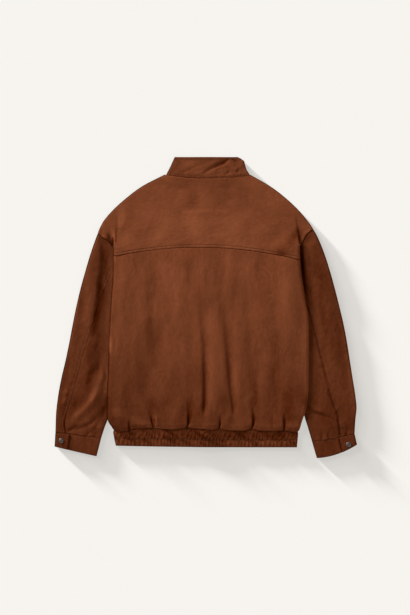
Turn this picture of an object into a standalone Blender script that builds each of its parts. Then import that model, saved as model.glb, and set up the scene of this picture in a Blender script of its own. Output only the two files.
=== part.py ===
"""A suede blouson lying face down on a flat surface, so that its back shows.

X runs across the jacket, +Y towards the collar and +Z up from the surface. The origin is on the
surface, at the middle of the jacket's outline. Sizes are millimetres until MM makes them metres.
Every cloth piece is a grid on the middle of its wall, which a Solidify modifier thickens.
"Left" and "right" are sides of the plan, and side tables hold distances from the centre line.
"""

import math
from collections import namedtuple

import bmesh
import bpy
from mathutils import Vector

MM = 0.001
WALL = 2.2
SEAM_GAP = 0.5
LAYER_GAP = 0.4
FLOOR_MIDDLE = WALL / 2

# Middle heights of the layers, from the surface up.
OVER_SLEEVE = 7.3
SLEEVE_UNDER_BODY = 4.7
SLEEVE_CROWN = 7.2
BACK_MIDDLE = 7.2
BACK_OVER_SLEEVE = 12.9
COLLAR_MIDDLE = 7.0
BAND_MIDDLE = 4.5
LIP_CLEARANCE = 1.8
CUFF_MIDDLE = 4.9
TAB_MIDDLE = CUFF_MIDDLE + WALL + LAYER_GAP

# Front lap, closed by press studs whose caps stand on the surface.
LAP_HALF = 16.0
LAP_FADE = 20.0
LAP_STEP = WALL + LAYER_GAP
LAP_BULGE = 3.0
CAP_RADIUS = 6.25
CAP_HEIGHT = 1.8
STUD_LIFT = CAP_HEIGHT + 0.3
FRONT_STUDS = 5
FRONT_STUD_LOWEST = -262.0
FRONT_STUD_HIGHEST = 288.0

SIDES = ("left", "right")
SIGN = {"left": -1.0, "right": 1.0}

# Distance x from the centre line at height y, from the collar down.
At = namedtuple("At", "y x")
OUTLINE = {
    "left": [At(332, 102.5), At(302, 160), At(272, 200), At(242, 233), At(212, 257.5),
             At(186, 269.5), At(137, 287), At(92, 300.5), At(47, 313), At(2, 323.5), At(-43, 332.5),
             At(-88, 341), At(-133, 350.5), At(-178, 361), At(-223, 369), At(-268, 374),
             At(-313, 375.5)],
    "right": [At(332, 112), At(302, 163.5), At(272, 202.5), At(242, 234), At(212, 259),
              At(197, 269), At(182, 278), At(137, 297), At(92, 311.5), At(47, 324), At(2, 335.5),
              At(-43, 346), At(-88, 354.5), At(-133, 361.5), At(-178, 368.5), At(-223, 375.5),
              At(-250, 378), At(-281, 375), At(-316, 373)],
}
# Armhole seam, from the shoulder point down to the armpit. It shows as far as the side fold.
ARMHOLE = {
    "left": [At(186, 269.5), At(178, 260), At(167, 244), At(150, 231), At(120, 213), At(80, 196),
             At(30, 178), At(-25, 165)],
    "right": [At(197, 269), At(192, 263.5), At(184, 254), At(163, 241), At(154, 235), At(120, 219),
              At(80, 202), At(30, 187), At(-25, 178)],
}
# Side fold of the body, which overhangs the sleeves.
SIDE_FOLD = {
    "left": [At(150, 231), At(91, 231.5), At(34, 235), At(-31, 239), At(-100, 241.5),
             At(-164, 244), At(-214, 246), At(-262, 247), At(-282, 244), At(-291, 240),
             At(-300, 234), At(-306, 232.5)],
    "right": [At(154, 235), At(124, 236), At(82, 240), At(41, 246), At(11, 250.5), At(-21, 257),
              At(-56, 258.5), At(-199, 258), At(-234, 254.5), At(-264, 248.5), At(-276, 244),
              At(-300, 236), At(-306, 234)],
}
# Side seam under the body, from the armpit down to the waistband.
SIDE_SEAM = {
    "left": [At(-25, 165), At(-60, 192), At(-120, 216), At(-200, 226), At(-260, 229),
             At(-302, 219)],
    "right": [At(-25, 178), At(-60, 205), At(-120, 229), At(-200, 238), At(-260, 233),
              At(-302, 222)],
}
# Inner fold of the sleeve: under the body first, then clear of it down to the cuff.
SLEEVE_FOLD = {
    "left": [At(-25, 165), At(-60, 183), At(-100, 200), At(-180, 225), At(-240, 237),
             At(-279, 244.5), At(-299, 252), At(-327, 261)],
    "right": [At(-25, 178), At(-60, 196), At(-100, 214), At(-180, 234), At(-240, 242),
              At(-271, 247.5), At(-299, 256), At(-335, 266.5)],
}
# Seam on the back of the sleeve, from the armhole to the cuff's vent.
SLEEVE_SEAM = {
    "left": [At(118, 210), At(91, 234), At(64, 246), At(41, 256), At(7, 264), At(-54, 279),
             At(-80, 290), At(-114, 304), At(-146, 315), At(-185, 324), At(-210, 335),
             At(-239, 341), At(-266, 348), At(-288, 353), At(-312, 350)],
    "right": [At(75, 200), At(40, 228), At(-1, 256), At(-56, 270), At(-86, 278), At(-131, 289),
              At(-179, 301), At(-223, 311), At(-258, 325), At(-282, 330), At(-318, 334.5)],
}
# Corners of the cuffs, at the sleeve and at the open end, and how far their edges bow.
Cuff = namedtuple("Cuff", "seam_inner seam_outer seam_bow end_inner end_outer end_bow tab")
CUFF = {
    "left": Cuff((261, -327), (375.5, -313), 1.5, (272.5, -372), (377.5, -347.5), -0.5, 0.70),
    "right": Cuff((266.5, -335), (373, -316), -1.5, (278.5, -376.5), (379, -342.5), -7.5, 0.63),
}
# Soft ridges (rise above 0) and troughs (below 0), each from its foot, where it is strongest,
# to its tip, where it has died away.
Fold = namedtuple("Fold", "foot tip rise width")
BACK_FOLDS = [
    Fold((-189, -306), (-189, -276), -2.0, 7),
    Fold((-133, -306), (-154, -214), -2.4, 9),
    Fold((-48, -306), (-41, -231), -3.4, 8),
    Fold((-8, -262), (-16, 29), -1.7, 9),
    Fold((16, -290), (14, 19), 1.6, 16),
    Fold((36, -306), (40, -271), -3.2, 7),
    Fold((72, -241), (45, -16), -2.6, 10),
    Fold((116, -306), (119, -241), -3.2, 8),
    Fold((170, -306), (171, -256), -2.0, 8),
    Fold((197, -306), (196, -271), -2.0, 6),
]
SLEEVE_FOLDS = {
    "left": [
        Fold((-250, -168), (-340, -274), 2.6, 14),
        Fold((-256, -220), (-338, -310), -2.6, 14),
        Fold((-270, -88), (-282, -140), -1.8, 14),
        Fold((-266, 150), (-274, 10), -2.2, 12),
    ],
    "right": [
        Fold((256, -244), (329, -282), -2.4, 12),
        Fold((296, -60), (318, -200), 1.8, 18),
    ],
}


def smooth(t):
    """0 to 1 with level ends."""
    t = min(1.0, max(0.0, t))
    return t * t * (3 - 2 * t)


def mix(a, b, t):
    return a + (b - a) * t


def bell(distance, width):
    return math.exp(-((distance / width) ** 2))


def follow(table, y):
    """The table's x at y, on a smooth curve that never overshoots its rows."""
    if y >= table[0].y:
        return table[0].x
    if y <= table[-1].y:
        return table[-1].x
    k = next(i for i in range(1, len(table)) if table[i].y <= y)
    steps = [(b.x - a.x) / (b.y - a.y) for a, b in zip(table, table[1:])]

    def slope(i):
        if i in (0, len(table) - 1):
            return steps[min(i, len(steps) - 1)]
        before, after = steps[i - 1], steps[i]
        return 2 * before * after / (before + after) if before * after > 0 else 0.0

    start, end = table[k - 1], table[k]
    run = end.y - start.y
    t = (y - start.y) / run
    return (
        (1 + 2 * t) * (1 - t) ** 2 * start.x
        + t * (1 - t) ** 2 * run * slope(k - 1)
        + t * t * (3 - 2 * t) * end.x
        + t * t * (t - 1) * run * slope(k)
    )


def side_of(x):
    return "left" if x < 0 else "right"


def body_edge(side, y):
    """Where the body's upper layer ends: shoulder outline, armhole seam or side fold."""
    if y >= ARMHOLE[side][0].y:
        return follow(OUTLINE[side], y)
    if y >= SIDE_FOLD[side][0].y:
        return follow(ARMHOLE[side], y)
    return follow(SIDE_FOLD[side], y)


def tuck_edge(side, y):
    """How far inwards the sleeve reaches under the body."""
    table = ARMHOLE if y > ARMHOLE[side][-1].y else SLEEVE_FOLD
    return follow(table[side], y)


def folds_at(folds, x, y):
    """Sum of the folds' heights at a point."""
    total = 0.0
    for fold in folds:
        foot, tip, point = Vector(fold.foot), Vector(fold.tip), Vector((x, y))
        run = tip - foot
        t = (point - foot).dot(run) / run.length_squared
        nearest = foot + run * min(1.0, max(0.0, t))
        total += fold.rise * bell((point - nearest).length, fold.width) * (1 - smooth(t))
    return total


def neck_y(x):
    """Neck seam, which sags a little at the middle."""
    return 322.0 + 0.0009 * (x - 5.0) ** 2


def lap(distance):
    """1 on the front's lap, falling to 0 beyond it."""
    return 1 - smooth((distance - LAP_HALF - 2) / LAP_FADE)


def over_lap(x):
    """Bulge of the upper layer over the lapped fronts."""
    return LAP_BULGE * bell(x, 36)


# Layers -----------------------------------------------------------------------------------------


def under_middle(x, y):
    """Middle of the body's under layer: on the surface, or over the sleeve that lies beneath."""
    rise = smooth((abs(x) - tuck_edge(side_of(x), y) + 32) / 26) * smooth((y + 300) / 20)
    return mix(FLOOR_MIDDLE, OVER_SLEEVE, rise)


def front_middle(side, x, y):
    """Middle of a front. The left one laps outside the right one, nearest the surface."""
    armpit = smooth((15 - y) / 40)
    middle = mix(FLOOR_MIDDLE, under_middle(x, y), armpit)
    fastened = smooth((y + 298) / 12) * smooth((318 - y) / 12)
    middle += STUD_LIFT * fastened * lap(abs(x))
    if side == "right":
        middle += LAP_STEP * lap(x)
    return middle


def band_middle(x):
    return BAND_MIDDLE + over_lap(x)


def back_middle(x, y):
    """Middle of the body's upper layer, raised over the sleeves and gathered at the waistband."""
    reach = tuck_edge(side_of(x), y)
    over_sleeve = smooth((abs(x) - reach + 85) / 77) * (1 - smooth((y - 148) / 45))
    middle = mix(BACK_MIDDLE, BACK_OVER_SLEEVE, over_sleeve * mix(0.45, 1, smooth((y + 300) / 40)))
    middle += over_lap(x) + folds_at(BACK_FOLDS, x, y) + 2.6 * bell(y + 284, 16)
    lip = band_middle(x) + WALL + LIP_CLEARANCE
    return mix(lip, middle, smooth((y + 306) / 12))


def sleeve_middle(side, x, y):
    """Middle of the sleeve's upper layer: low under the body, crowned beside it."""
    clear = abs(x) - body_edge(side, y)
    low = mix(SLEEVE_UNDER_BODY, SLEEVE_CROWN, smooth((y - 158) / 26))
    crown = smooth((clear - 9) / 30)
    return mix(low, SLEEVE_CROWN + folds_at(SLEEVE_FOLDS[side], x, y), crown)


# Cloth ------------------------------------------------------------------------------------------

ROLL_TURNS = (0.0, 0.2, 0.4, 0.6, 0.8, 1.0)


def roll(edge, sign, reach, high, low, turn):
    """(x, z) on the half-round edge of a flattened tube, from its top (0) to its underside (1)."""
    angle = math.pi * turn
    x = edge - sign * (WALL / 2 + reach * (1 - math.sin(angle)))
    return x, (high + low) / 2 + (high - low) / 2 * math.cos(angle)


def suede(name, colour, roughness):
    material = bpy.data.materials.new(name)
    material.use_nodes = True
    shader = material.node_tree.nodes["Principled BSDF"]
    shader.inputs["Base Color"].default_value = (*colour, 1.0)
    shader.inputs["Roughness"].default_value = roughness
    shader.inputs["Metallic"].default_value = 0.0
    return material


def cloth(name, colour, rows):
    """A piece of suede: a grid through rows of points in the middle of its wall, made solid."""
    columns = len(rows[0])
    grid = bmesh.new()
    bmesh.ops.create_grid(grid, x_segments=columns - 1, y_segments=len(rows) - 1, size=0.5)
    for vertex in grid.verts:
        column = round((vertex.co.x + 0.5) * (columns - 1))
        row = round((vertex.co.y + 0.5) * (len(rows) - 1))
        vertex.co = Vector(rows[row][column]) * MM
    mesh = bpy.data.meshes.new(name)
    grid.to_mesh(mesh)
    grid.free()
    mesh.shade_smooth()
    mesh.materials.append(suede(f"{name}_suede", colour, 0.9))
    piece = bpy.data.objects.new(name, mesh)
    jacket.objects.link(piece)
    wall = piece.modifiers.new("wall", "SOLIDIFY")
    wall.thickness = WALL * MM
    wall.offset = 0.0


# Body -------------------------------------------------------------------------------------------

# A row of the back or yoke: the height of its ends, how far its middle bows up, the height of
# its turned-under ends, and the share of the full side roll that it has.
BodyRow = namedtuple("BodyRow", "left right bow under")
BACK_ROWS = [
    BodyRow(-305.5, -305.5, 0, -301.6),
    BodyRow(-299, -299, 0, -297),
    BodyRow(-290, -290, 0, -290),
    BodyRow(-276, -276, 0, -276),
    BodyRow(-258, -258, 0, -258),
    BodyRow(-225, -225, 0, -225),
    BodyRow(-180, -180, 0, -180),
    BodyRow(-125, -125, 1, -125),
    BodyRow(-70, -70, 4, -70),
    BodyRow(-25, -25, 7, -25),
    BodyRow(30, 30, 12, 30),
    BodyRow(85, 85, 19, 85),
    BodyRow(129.2, 121.2, 25, None),
]
BACK_COLUMNS = (
    -206, -189, -172, -150, -134, -118, -92, -68, -48, -28, -8, 14, 36, 54, 72, 94, 116, 138,
    154, 170, 184, 197, 211,
)
BACK_COLUMN_REACH = 228.0
SIDE_REACH = 3.4


def turned_under(side, y, y_under, under, reach, low):
    """Points from the inner end of the turned-under edge, round the side roll, to its top.
    `low` gives the middle height of the turned-under cloth at a point."""
    sign = SIGN[side]
    edge = sign * body_edge(side, y)
    start = edge - sign * (WALL / 2 + reach)
    high = back_middle(start, y)
    points = []
    for share in (0.0, 0.5):
        x = mix(sign * under, start, share)
        points.append((x, y_under, low(x, y_under)))
    for turn in reversed(ROLL_TURNS):
        x, z = roll(edge, sign, reach, high, low(start, y_under), turn)
        points.append((x, mix(y, y_under, smooth(turn / 0.6)), z))
    return points


def body_row(ends, bow, columns):
    """One row across the body: `ends` maps a side to its turned_under points."""
    left, right = ends["left"], ends["right"][::-1]
    (x0, y0, _), (x1, y1, _) = left[-1], right[0]
    top = []
    for share in columns:
        x = x1 * share if share > 0 else -x0 * share
        t = (x - x0) / (x1 - x0)
        y = mix(y0, y1, t) + bow * 4 * t * (1 - t)
        top.append((x, y, back_middle(x, y)))
    return left + top + right


def under_seam(side, y):
    """Where the turned-under edge of the back meets the front, or the sleeve above the armpit."""
    table = SIDE_SEAM if y < SIDE_SEAM[side][0].y else ARMHOLE
    return follow(table[side], y)


def make_back():
    columns = [x / BACK_COLUMN_REACH for x in BACK_COLUMNS]
    rows = []
    for row in BACK_ROWS:
        ends = {}
        for side in SIDES:
            y = getattr(row, side)
            y_under = y if row.under is None else row.under
            under = under_seam(side, y_under) + SEAM_GAP / 2
            ends[side] = turned_under(side, y, y_under, under, SIDE_REACH, under_middle)
        rows.append(body_row(ends, row.bow, columns))
    cloth("back", (0.150, 0.046, 0.018), rows)


# A row of the yoke: its left and right ends, its bow, the reach of its side roll, the height
# of its turned-under edge, and how far in that edge goes on each side.
YokeRow = namedtuple("YokeRow", "left right bow reach low under_left under_right")
YOKE_ROWS = [
    YokeRow(129.7, 121.7, 25, 3.4, OVER_SLEEVE, 216.5, 220.5),
    YokeRow(140, 138, 20, 3.4, OVER_SLEEVE, 225, 227.5),
    YokeRow(149.5, 153, 14.5, 3.0, OVER_SLEEVE, 226, 230.5),
    YokeRow(163, 163.5, 11.5, 2.2, 5.0, 236, 237),
    YokeRow(172, 182, 8.5, 2.2, 5.0, 247, 248),
    YokeRow(179, 191.5, 6.5, 2.2, 5.0, 257, 258),
    YokeRow(186, 197, 4.5, 2.2, 5.0, 265, 264.5),
    YokeRow(212, 212, 2, 3.8, FLOOR_MIDDLE, 229, 229),
    YokeRow(242, 242, 0, 4.2, FLOOR_MIDDLE, 204, 206),
    YokeRow(272, 272, -2, 5.0, FLOOR_MIDDLE, 170, 174),
    YokeRow(302, 302, -5, 6.0, FLOOR_MIDDLE, 128, 133),
    YokeRow(332, 332, -10, 6.5, FLOOR_MIDDLE, 74, 82),
]
YOKE_COLUMNS = (-0.92, -0.8, -0.66, -0.5, -0.33, -0.16, 0.06, 0.2, 0.36, 0.5, 0.66, 0.8, 0.92)


def make_yoke():
    rows = []
    for row in YOKE_ROWS:
        ends = {
            side: turned_under(side, y, y, under, row.reach, lambda x, _, low=row.low: low)
            for side, y, under in (
                ("left", row.left, row.under_left),
                ("right", row.right, row.under_right),
            )
        }
        rows.append(body_row(ends, row.bow, YOKE_COLUMNS))
    rows[-1] = [(x, neck_y(x) - SEAM_GAP / 2, z) for x, _, z in rows[-1]]
    cloth("yoke", (0.200, 0.064, 0.027), rows)


# Outer edge of the fronts above the armhole, along the front shoulder seam.
FRONT_SHOULDER = {
    "left": [At(332, 72.5), At(302, 126.5), At(272, 168.5), At(242, 202.5), At(212, 227),
             At(190, 259)],
    "right": [At(332, 80.5), At(302, 131.5), At(272, 172.5), At(242, 204.5), At(212, 227),
              At(197, 262)],
}
FRONT_LEVELS = (
    -301.6, -290, -276, -258, -225, -180, -125, -70, -25, 0, 30, 75, 120, 150, 170, 186, 197, 212,
    242, 272, 302, 332,
)


def front_edge(side, y):
    shoulder = FRONT_SHOULDER[side]
    if y >= shoulder[-1].y:
        return follow(shoulder, y)
    return min(under_seam(side, y), shoulder[-1].x + 4) - SEAM_GAP / 2


def make_front(side, colour):
    sign = SIGN[side]
    rows = []
    for y in FRONT_LEVELS:
        edge = front_edge(side, y)
        step_top = min(tuck_edge(side, y) - 6, edge - 4)
        step_middle = min(step_top - 13, edge - 12)
        step_foot = min(step_middle - 13, edge - 20)
        open_width = step_foot - LAP_HALF - LAP_FADE
        distances = [-LAP_HALF, 0, LAP_HALF + 2, LAP_HALF + LAP_FADE]
        distances += [LAP_HALF + LAP_FADE + open_width * share for share in (0.33, 0.67, 1)]
        distances += [step_middle, step_top, edge]
        row = []
        for distance in distances:
            x = sign * distance
            row_y = neck_y(x) - SEAM_GAP / 2 if y == FRONT_LEVELS[-1] else y
            row.append((x, row_y, front_middle(side, x, row_y)))
        rows.append(row)
    cloth(f"front_{side}", colour, rows)


# Collar and waistband ---------------------------------------------------------------------------


def lapped_ring(left, right, y_top, y_under, high, reach, top_columns):
    """A row of a flattened ring, from its outer lapped end, over the top, to its inner one."""
    def under(x, inner):
        return FLOOR_MIDDLE + (LAP_STEP * lap(x) if inner else 0.0)

    left_start = left + WALL / 2 + reach
    right_start = right - WALL / 2 - reach
    row = []
    for share in (0, 0.5, 1):
        x = mix(LAP_HALF, left_start + 6, share)
        row.append((x, y_under(x), under(x, False)))
    for turn in reversed(ROLL_TURNS):
        x, z = roll(left, -1, reach, high(left_start), FLOOR_MIDDLE, turn)
        row.append((x, mix(y_top(x), y_under(x), turn), z))
    for share in top_columns:
        x = mix(left_start, right_start, share)
        row.append((x, y_top(x), high(x)))
    for turn in ROLL_TURNS:
        x, z = roll(right, 1, reach, high(right_start), FLOOR_MIDDLE, turn)
        row.append((x, mix(y_top(x), y_under(x), turn), z))
    for x in (right_start - 6, LAP_HALF + LAP_FADE + 2, LAP_HALF + 2, 0, -LAP_HALF):
        row.append((x, y_under(x), under(x, True)))
    return row


# A row of the collar: share of its height, and its left and right edges.
CollarRow = namedtuple("CollarRow", "share left right")
COLLAR_TOP = 376.0
COLLAR_REACH = 2.9
COLLAR_BULGE = 0.3
COLLAR_COLUMNS = 12
COLLAR_ROWS = [
    CollarRow(0.0, 98.5, 110.5),
    CollarRow(0.3, 92, 103),
    CollarRow(0.55, 86.5, 99.5),
    CollarRow(0.78, 82, 97),
    CollarRow(0.92, 79, 88.5),
    CollarRow(1.0, 77, 80),
]


def make_collar():
    rows = []
    for row in COLLAR_ROWS:
        def level(x, share=row.share):
            return mix(neck_y(x) + SEAM_GAP / 2, COLLAR_TOP, share)

        columns = [k / COLLAR_COLUMNS for k in range(1, COLLAR_COLUMNS)]
        rows.append(
            lapped_ring(
                -row.left, row.right, level, level,
                lambda x: COLLAR_MIDDLE + COLLAR_BULGE * over_lap(x), COLLAR_REACH, columns,
            )
        )
    cloth("collar", (0.135, 0.042, 0.017), rows)


BAND_REACH = 1.7
RIBS = 28
RIB_PITCH = 15.0
RIB_DEPTH = 0.55
RIB_SAMPLES = 4
# A row of the waistband: its height on the top and under layers, how much of the foot's drop
# it has, its two edges and its share of the ribs' depth.
BandRow = namedtuple("BandRow", "top under foot left right ribs")
BAND_ROWS = [
    BandRow(-300.8, -302.8, 0, 228.6, 230, 0.4),
    BandRow(-313, -313, 0.2, 231, 232, 1.0),
    BandRow(-330, -330, 0.6, 228, 230.5, 1.0),
    BandRow(-345.5, -345.5, 1, 224.5, 229, 0.6),
]
BAND_FOOT_DROP = 4.2


def band_foot(row, x):
    """How far a row of the band dips at x: fast at the left, then nearly level."""
    return row.foot * BAND_FOOT_DROP * (1 - ((row.right - x) / (row.left + row.right)) ** 3)


def make_waistband():
    samples = RIBS * RIB_SAMPLES
    columns = [k / samples for k in range(1, samples)]
    rows = []
    for row in BAND_ROWS:
        def top(x, row=row):
            return row.top - band_foot(row, x)

        def under(x, row=row):
            return row.under - band_foot(row, x)

        def high(x, row=row):
            return band_middle(x) + RIB_DEPTH * row.ribs * math.sin(2 * math.pi * x / RIB_PITCH)

        rows.append(lapped_ring(-row.left, row.right, top, under, high, BAND_REACH, columns))
    cloth("waistband", (0.110, 0.033, 0.014), rows)


# Sleeves and cuffs ------------------------------------------------------------------------------


def cuff_point(side, u, b):
    """Plan point on a cuff: u from its inner edge to its outer one, b from the sleeve down."""
    cuff = CUFF[side]
    ends = []
    for inner, outer, bow in (
        (cuff.seam_inner, cuff.seam_outer, cuff.seam_bow),
        (cuff.end_inner, cuff.end_outer, cuff.end_bow),
    ):
        point = Vector(inner).lerp(Vector(outer), u)
        ends.append(point + Vector((0, bow * 4 * u * (1 - u))))
    point = ends[0].lerp(ends[1], b)
    return Vector((SIGN[side] * point.x, point.y))


def sleeve_point(side, u, b):
    """Plan point on a sleeve, on a patch between armhole, inner fold, outline and cuff."""
    sign = SIGN[side]
    armhole, outline, inner = ARMHOLE[side], OUTLINE[side], SLEEVE_FOLD[side]

    def on_armhole(t):
        y = mix(armhole[-1].y, armhole[0].y, t)
        return Vector((sign * follow(armhole, y), y))

    def on_fold(t):
        y = mix(armhole[-1].y, CUFF[side].seam_inner[1], t)
        return Vector((sign * follow(inner, y), y))

    def on_outline(t):
        y = mix(armhole[0].y, CUFF[side].seam_outer[1], t)
        return Vector((sign * follow(outline, y), y))

    point = on_armhole(u) * (1 - b) + cuff_point(side, u, 0) * b
    point += on_fold(b) * (1 - u) + on_outline(b) * u
    corners = on_armhole(0) * (1 - u) * (1 - b) + on_armhole(1) * u * (1 - b)
    corners += cuff_point(side, 0, 0) * (1 - u) * b + cuff_point(side, 1, 0) * u * b
    return point - corners


def seam_share(side, b):
    """The u at which row b crosses the seam on the back of the sleeve."""
    low, high = 0.0, 1.0
    for _ in range(30):
        u = (low + high) / 2
        point = sleeve_point(side, u, b)
        if abs(point.x) > follow(SLEEVE_SEAM[side], point.y):
            high = u
        else:
            low = u
    return u


TUBE_REACH = 2.7


def tube_row(place, side, b, walk, high, low):
    """A row round a flattened tube. `walk` holds ("top" or "under", u) and ("inner" or "outer",
    turn) steps, with the turns of a roll from the top (0) to the underside (1)."""
    width = (place(side, 1, b) - place(side, 0, b)).length
    start = (WALL / 2 + TUBE_REACH) / width
    row = []
    for layer, value in walk:
        if layer in ("inner", "outer"):
            inset = (WALL / 2 + TUBE_REACH * (1 - math.sin(math.pi * value))) / width
            u = inset if layer == "inner" else 1 - inset
            point = place(side, u, b)
            top = place(side, start if layer == "inner" else 1 - start, b)
            top_z, low_z = high(top), low(top)
            z = (top_z + low_z) / 2 + (top_z - low_z) / 2 * math.cos(math.pi * value)
        else:
            point = place(side, value, b)
            z = high(point) if layer == "top" else low(point)
        row.append((point.x, point.y, z))
    return row


SLEEVE_ROWS = (0.0, 0.07, 0.15, 0.24, 0.33, 0.43, 0.53, 0.62, 0.71, 0.79, 0.87, 0.94, 1.0)
UNDER_SEAM = 0.45
ARMHOLE_GAP = 0.002
CUFF_GAP = 0.0015


def make_sleeve(side, upper_colour, under_colour):
    def high(point):
        return sleeve_middle(side, point.x, point.y)

    def low(_):
        return FLOOR_MIDDLE

    upper, under = [], []
    for level in SLEEVE_ROWS:
        b = mix(ARMHOLE_GAP, 1 - CUFF_GAP, level)
        seam = seam_share(side, b)
        width = (sleeve_point(side, 1, b) - sleeve_point(side, 0, b)).length
        gap = SEAM_GAP / 2 / width
        edge = 6.0 / width
        walk = [("top", mix(seam + gap, 1 - edge, share)) for share in (0, 0.32, 0.64, 0.86)]
        walk += [("outer", turn) for turn in ROLL_TURNS]
        walk += [("under", mix(UNDER_SEAM + gap, 1 - edge, share)) for share in (0.75, 0.5, 0.2, 0)]
        upper.append(tube_row(sleeve_point, side, b, walk, high, low))
        walk = [("top", mix(seam - gap, edge, share)) for share in (0, 0.25, 0.5, 0.75)]
        walk += [("inner", turn) for turn in ROLL_TURNS]
        walk += [("under", mix(edge, UNDER_SEAM - gap, share)) for share in (0.5, 1)]
        under.append(tube_row(sleeve_point, side, b, walk, high, low))
    cloth(f"sleeve_{side}_upper", upper_colour, upper)
    cloth(f"sleeve_{side}_under", under_colour, under)


def make_cuff(side, colour):
    tab = CUFF[side].tab

    def low(_):
        return FLOOR_MIDDLE

    rows = []
    for b in (0.012, 0.35, 0.68, 1.0):
        outer_walk = [("top", tab), ("top", mix(tab, 0.94, 0.5))]
        outer_walk += [("outer", turn) for turn in ROLL_TURNS]
        outer_walk += [("under", 0.7), ("under", 0.4), ("under", 0.15)]
        inner_walk = [("inner", turn) for turn in reversed(ROLL_TURNS)]
        inner_walk += [("top", u) for u in (0.2, 0.4, 0.6, 0.75, 0.88)]
        row = tube_row(cuff_point, side, b, outer_walk, lambda point: TAB_MIDDLE, low)
        row += tube_row(cuff_point, side, b, inner_walk, lambda point: CUFF_MIDDLE, low)
        rows.append(row)
    cloth(f"cuff_{side}", colour, rows)


# Press studs ------------------------------------------------------------------------------------

CAP_PROFILE = ((0.0, 1.0), (0.62, 1.0), (0.9, 0.86), (1.0, 0.5), (0.94, 0.0), (0.0, 0.0))
CAP_SIDES = 20


def make_stud(name, x, y, z, face_down):
    """A turned stud cap on a lap: (x, y, z) is the middle of its seat, under or over the cap."""
    mesh = bpy.data.meshes.new(name)
    points = [(r * CAP_RADIUS * MM, 0, h * CAP_HEIGHT * MM) for r, h in CAP_PROFILE]
    mesh.from_pydata(points, [(k, k + 1) for k in range(len(points) - 1)], [])
    metal = suede(f"{name}_metal", (0.10, 0.095, 0.09), 0.4)
    metal.node_tree.nodes["Principled BSDF"].inputs["Metallic"].default_value = 1.0
    mesh.materials.append(metal)
    stud = bpy.data.objects.new(name, mesh)
    jacket.objects.link(stud)
    stud.location = (x * MM, y * MM, z * MM)
    stud.rotation_euler.x = math.pi if face_down else 0.0
    turned = stud.modifiers.new("turned", "SCREW")
    turned.steps = turned.render_steps = CAP_SIDES
    turned.use_merge_vertices = True
    turned.merge_threshold = 0.00001


# Where a stud sits on its cuff: its share of the way across, and from the sleeve down.
STUD_SEAT = {"left": (0.855, 0.5), "right": (0.812, 0.675)}


def make_studs():
    for side in SIDES:
        seat = cuff_point(side, *STUD_SEAT[side])
        make_stud(f"stud_cuff_{side}", seat.x, seat.y, TAB_MIDDLE + WALL / 2 + 0.3, False)
    for k in range(FRONT_STUDS):
        y = mix(FRONT_STUD_HIGHEST, FRONT_STUD_LOWEST, k / (FRONT_STUDS - 1))
        make_stud(f"stud_front_{k + 1}", 0, y, CAP_HEIGHT, True)


for old in list(bpy.data.objects):
    bpy.data.objects.remove(old, do_unlink=True)
jacket = bpy.data.collections.new("jacket")
bpy.context.scene.collection.children.link(jacket)

make_yoke()
make_back()
make_front("left", (0.145, 0.044, 0.018))
make_front("right", (0.145, 0.044, 0.018))
make_collar()
make_waistband()
make_sleeve("left", (0.130, 0.040, 0.017), (0.140, 0.043, 0.018))
make_sleeve("right", (0.100, 0.030, 0.012), (0.105, 0.031, 0.013))
make_cuff("left", (0.095, 0.029, 0.012))
make_cuff("right", (0.085, 0.026, 0.011))
make_studs()
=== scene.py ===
from collections import namedtuple

import bmesh
import bpy
import numpy as np
from mathutils import Matrix, Vector, noise


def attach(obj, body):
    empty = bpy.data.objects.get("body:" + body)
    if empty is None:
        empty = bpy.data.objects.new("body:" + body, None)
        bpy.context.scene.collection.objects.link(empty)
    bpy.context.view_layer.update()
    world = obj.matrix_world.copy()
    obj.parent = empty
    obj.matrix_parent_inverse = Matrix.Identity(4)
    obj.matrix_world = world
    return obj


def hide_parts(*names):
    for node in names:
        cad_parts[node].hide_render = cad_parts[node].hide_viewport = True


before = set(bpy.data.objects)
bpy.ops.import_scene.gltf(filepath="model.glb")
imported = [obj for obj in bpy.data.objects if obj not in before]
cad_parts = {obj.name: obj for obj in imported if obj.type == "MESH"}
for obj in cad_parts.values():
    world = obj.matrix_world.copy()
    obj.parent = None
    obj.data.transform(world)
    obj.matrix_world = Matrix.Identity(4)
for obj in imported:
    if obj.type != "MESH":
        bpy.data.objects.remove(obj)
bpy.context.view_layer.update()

# Back yoke --------------------------------------------------------------------------------------
# The yoke is one piece of suede over both shoulders, cut in one with them, so it folds over to
# the front. It laps over the back with a welt and a row of topstitching, and its armhole edges
# are sewn to the sleeves. Sizes are millimetres on the plan, with the collar towards +Y.

MM = 0.001
WALL = 1.6
SIGN = {"left": -1.0, "right": 1.0}

# Distance x from the centre line at height y.
At = namedtuple("At", "y x")
OUTLINE = {
    "left": [At(332, 102.5), At(302, 160), At(272, 200), At(242, 233), At(212, 257.5),
             At(186, 269.5), At(137, 287), At(92, 300.5), At(47, 313), At(2, 323.5), At(-43, 332.5),
             At(-88, 341), At(-133, 350.5), At(-178, 361), At(-223, 369), At(-268, 374),
             At(-313, 375.5)],
    "right": [At(332, 112), At(302, 163.5), At(272, 202.5), At(242, 234), At(212, 259),
              At(197, 269), At(182, 278), At(137, 297), At(92, 311.5), At(47, 324), At(2, 335.5),
              At(-43, 346), At(-88, 354.5), At(-133, 361.5), At(-178, 368.5), At(-223, 375.5),
              At(-250, 378), At(-281, 375), At(-316, 373)],
}
# Armhole seam, from the shoulder point down to the armpit.
ARMHOLE = {
    "left": [At(186, 269.5), At(178, 260), At(167, 244), At(150, 231), At(120, 213), At(80, 196),
             At(30, 178), At(-25, 165)],
    "right": [At(197, 269), At(192, 263.5), At(184, 254), At(163, 241), At(154, 235), At(120, 219),
              At(80, 202), At(30, 187), At(-25, 178)],
}
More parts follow.
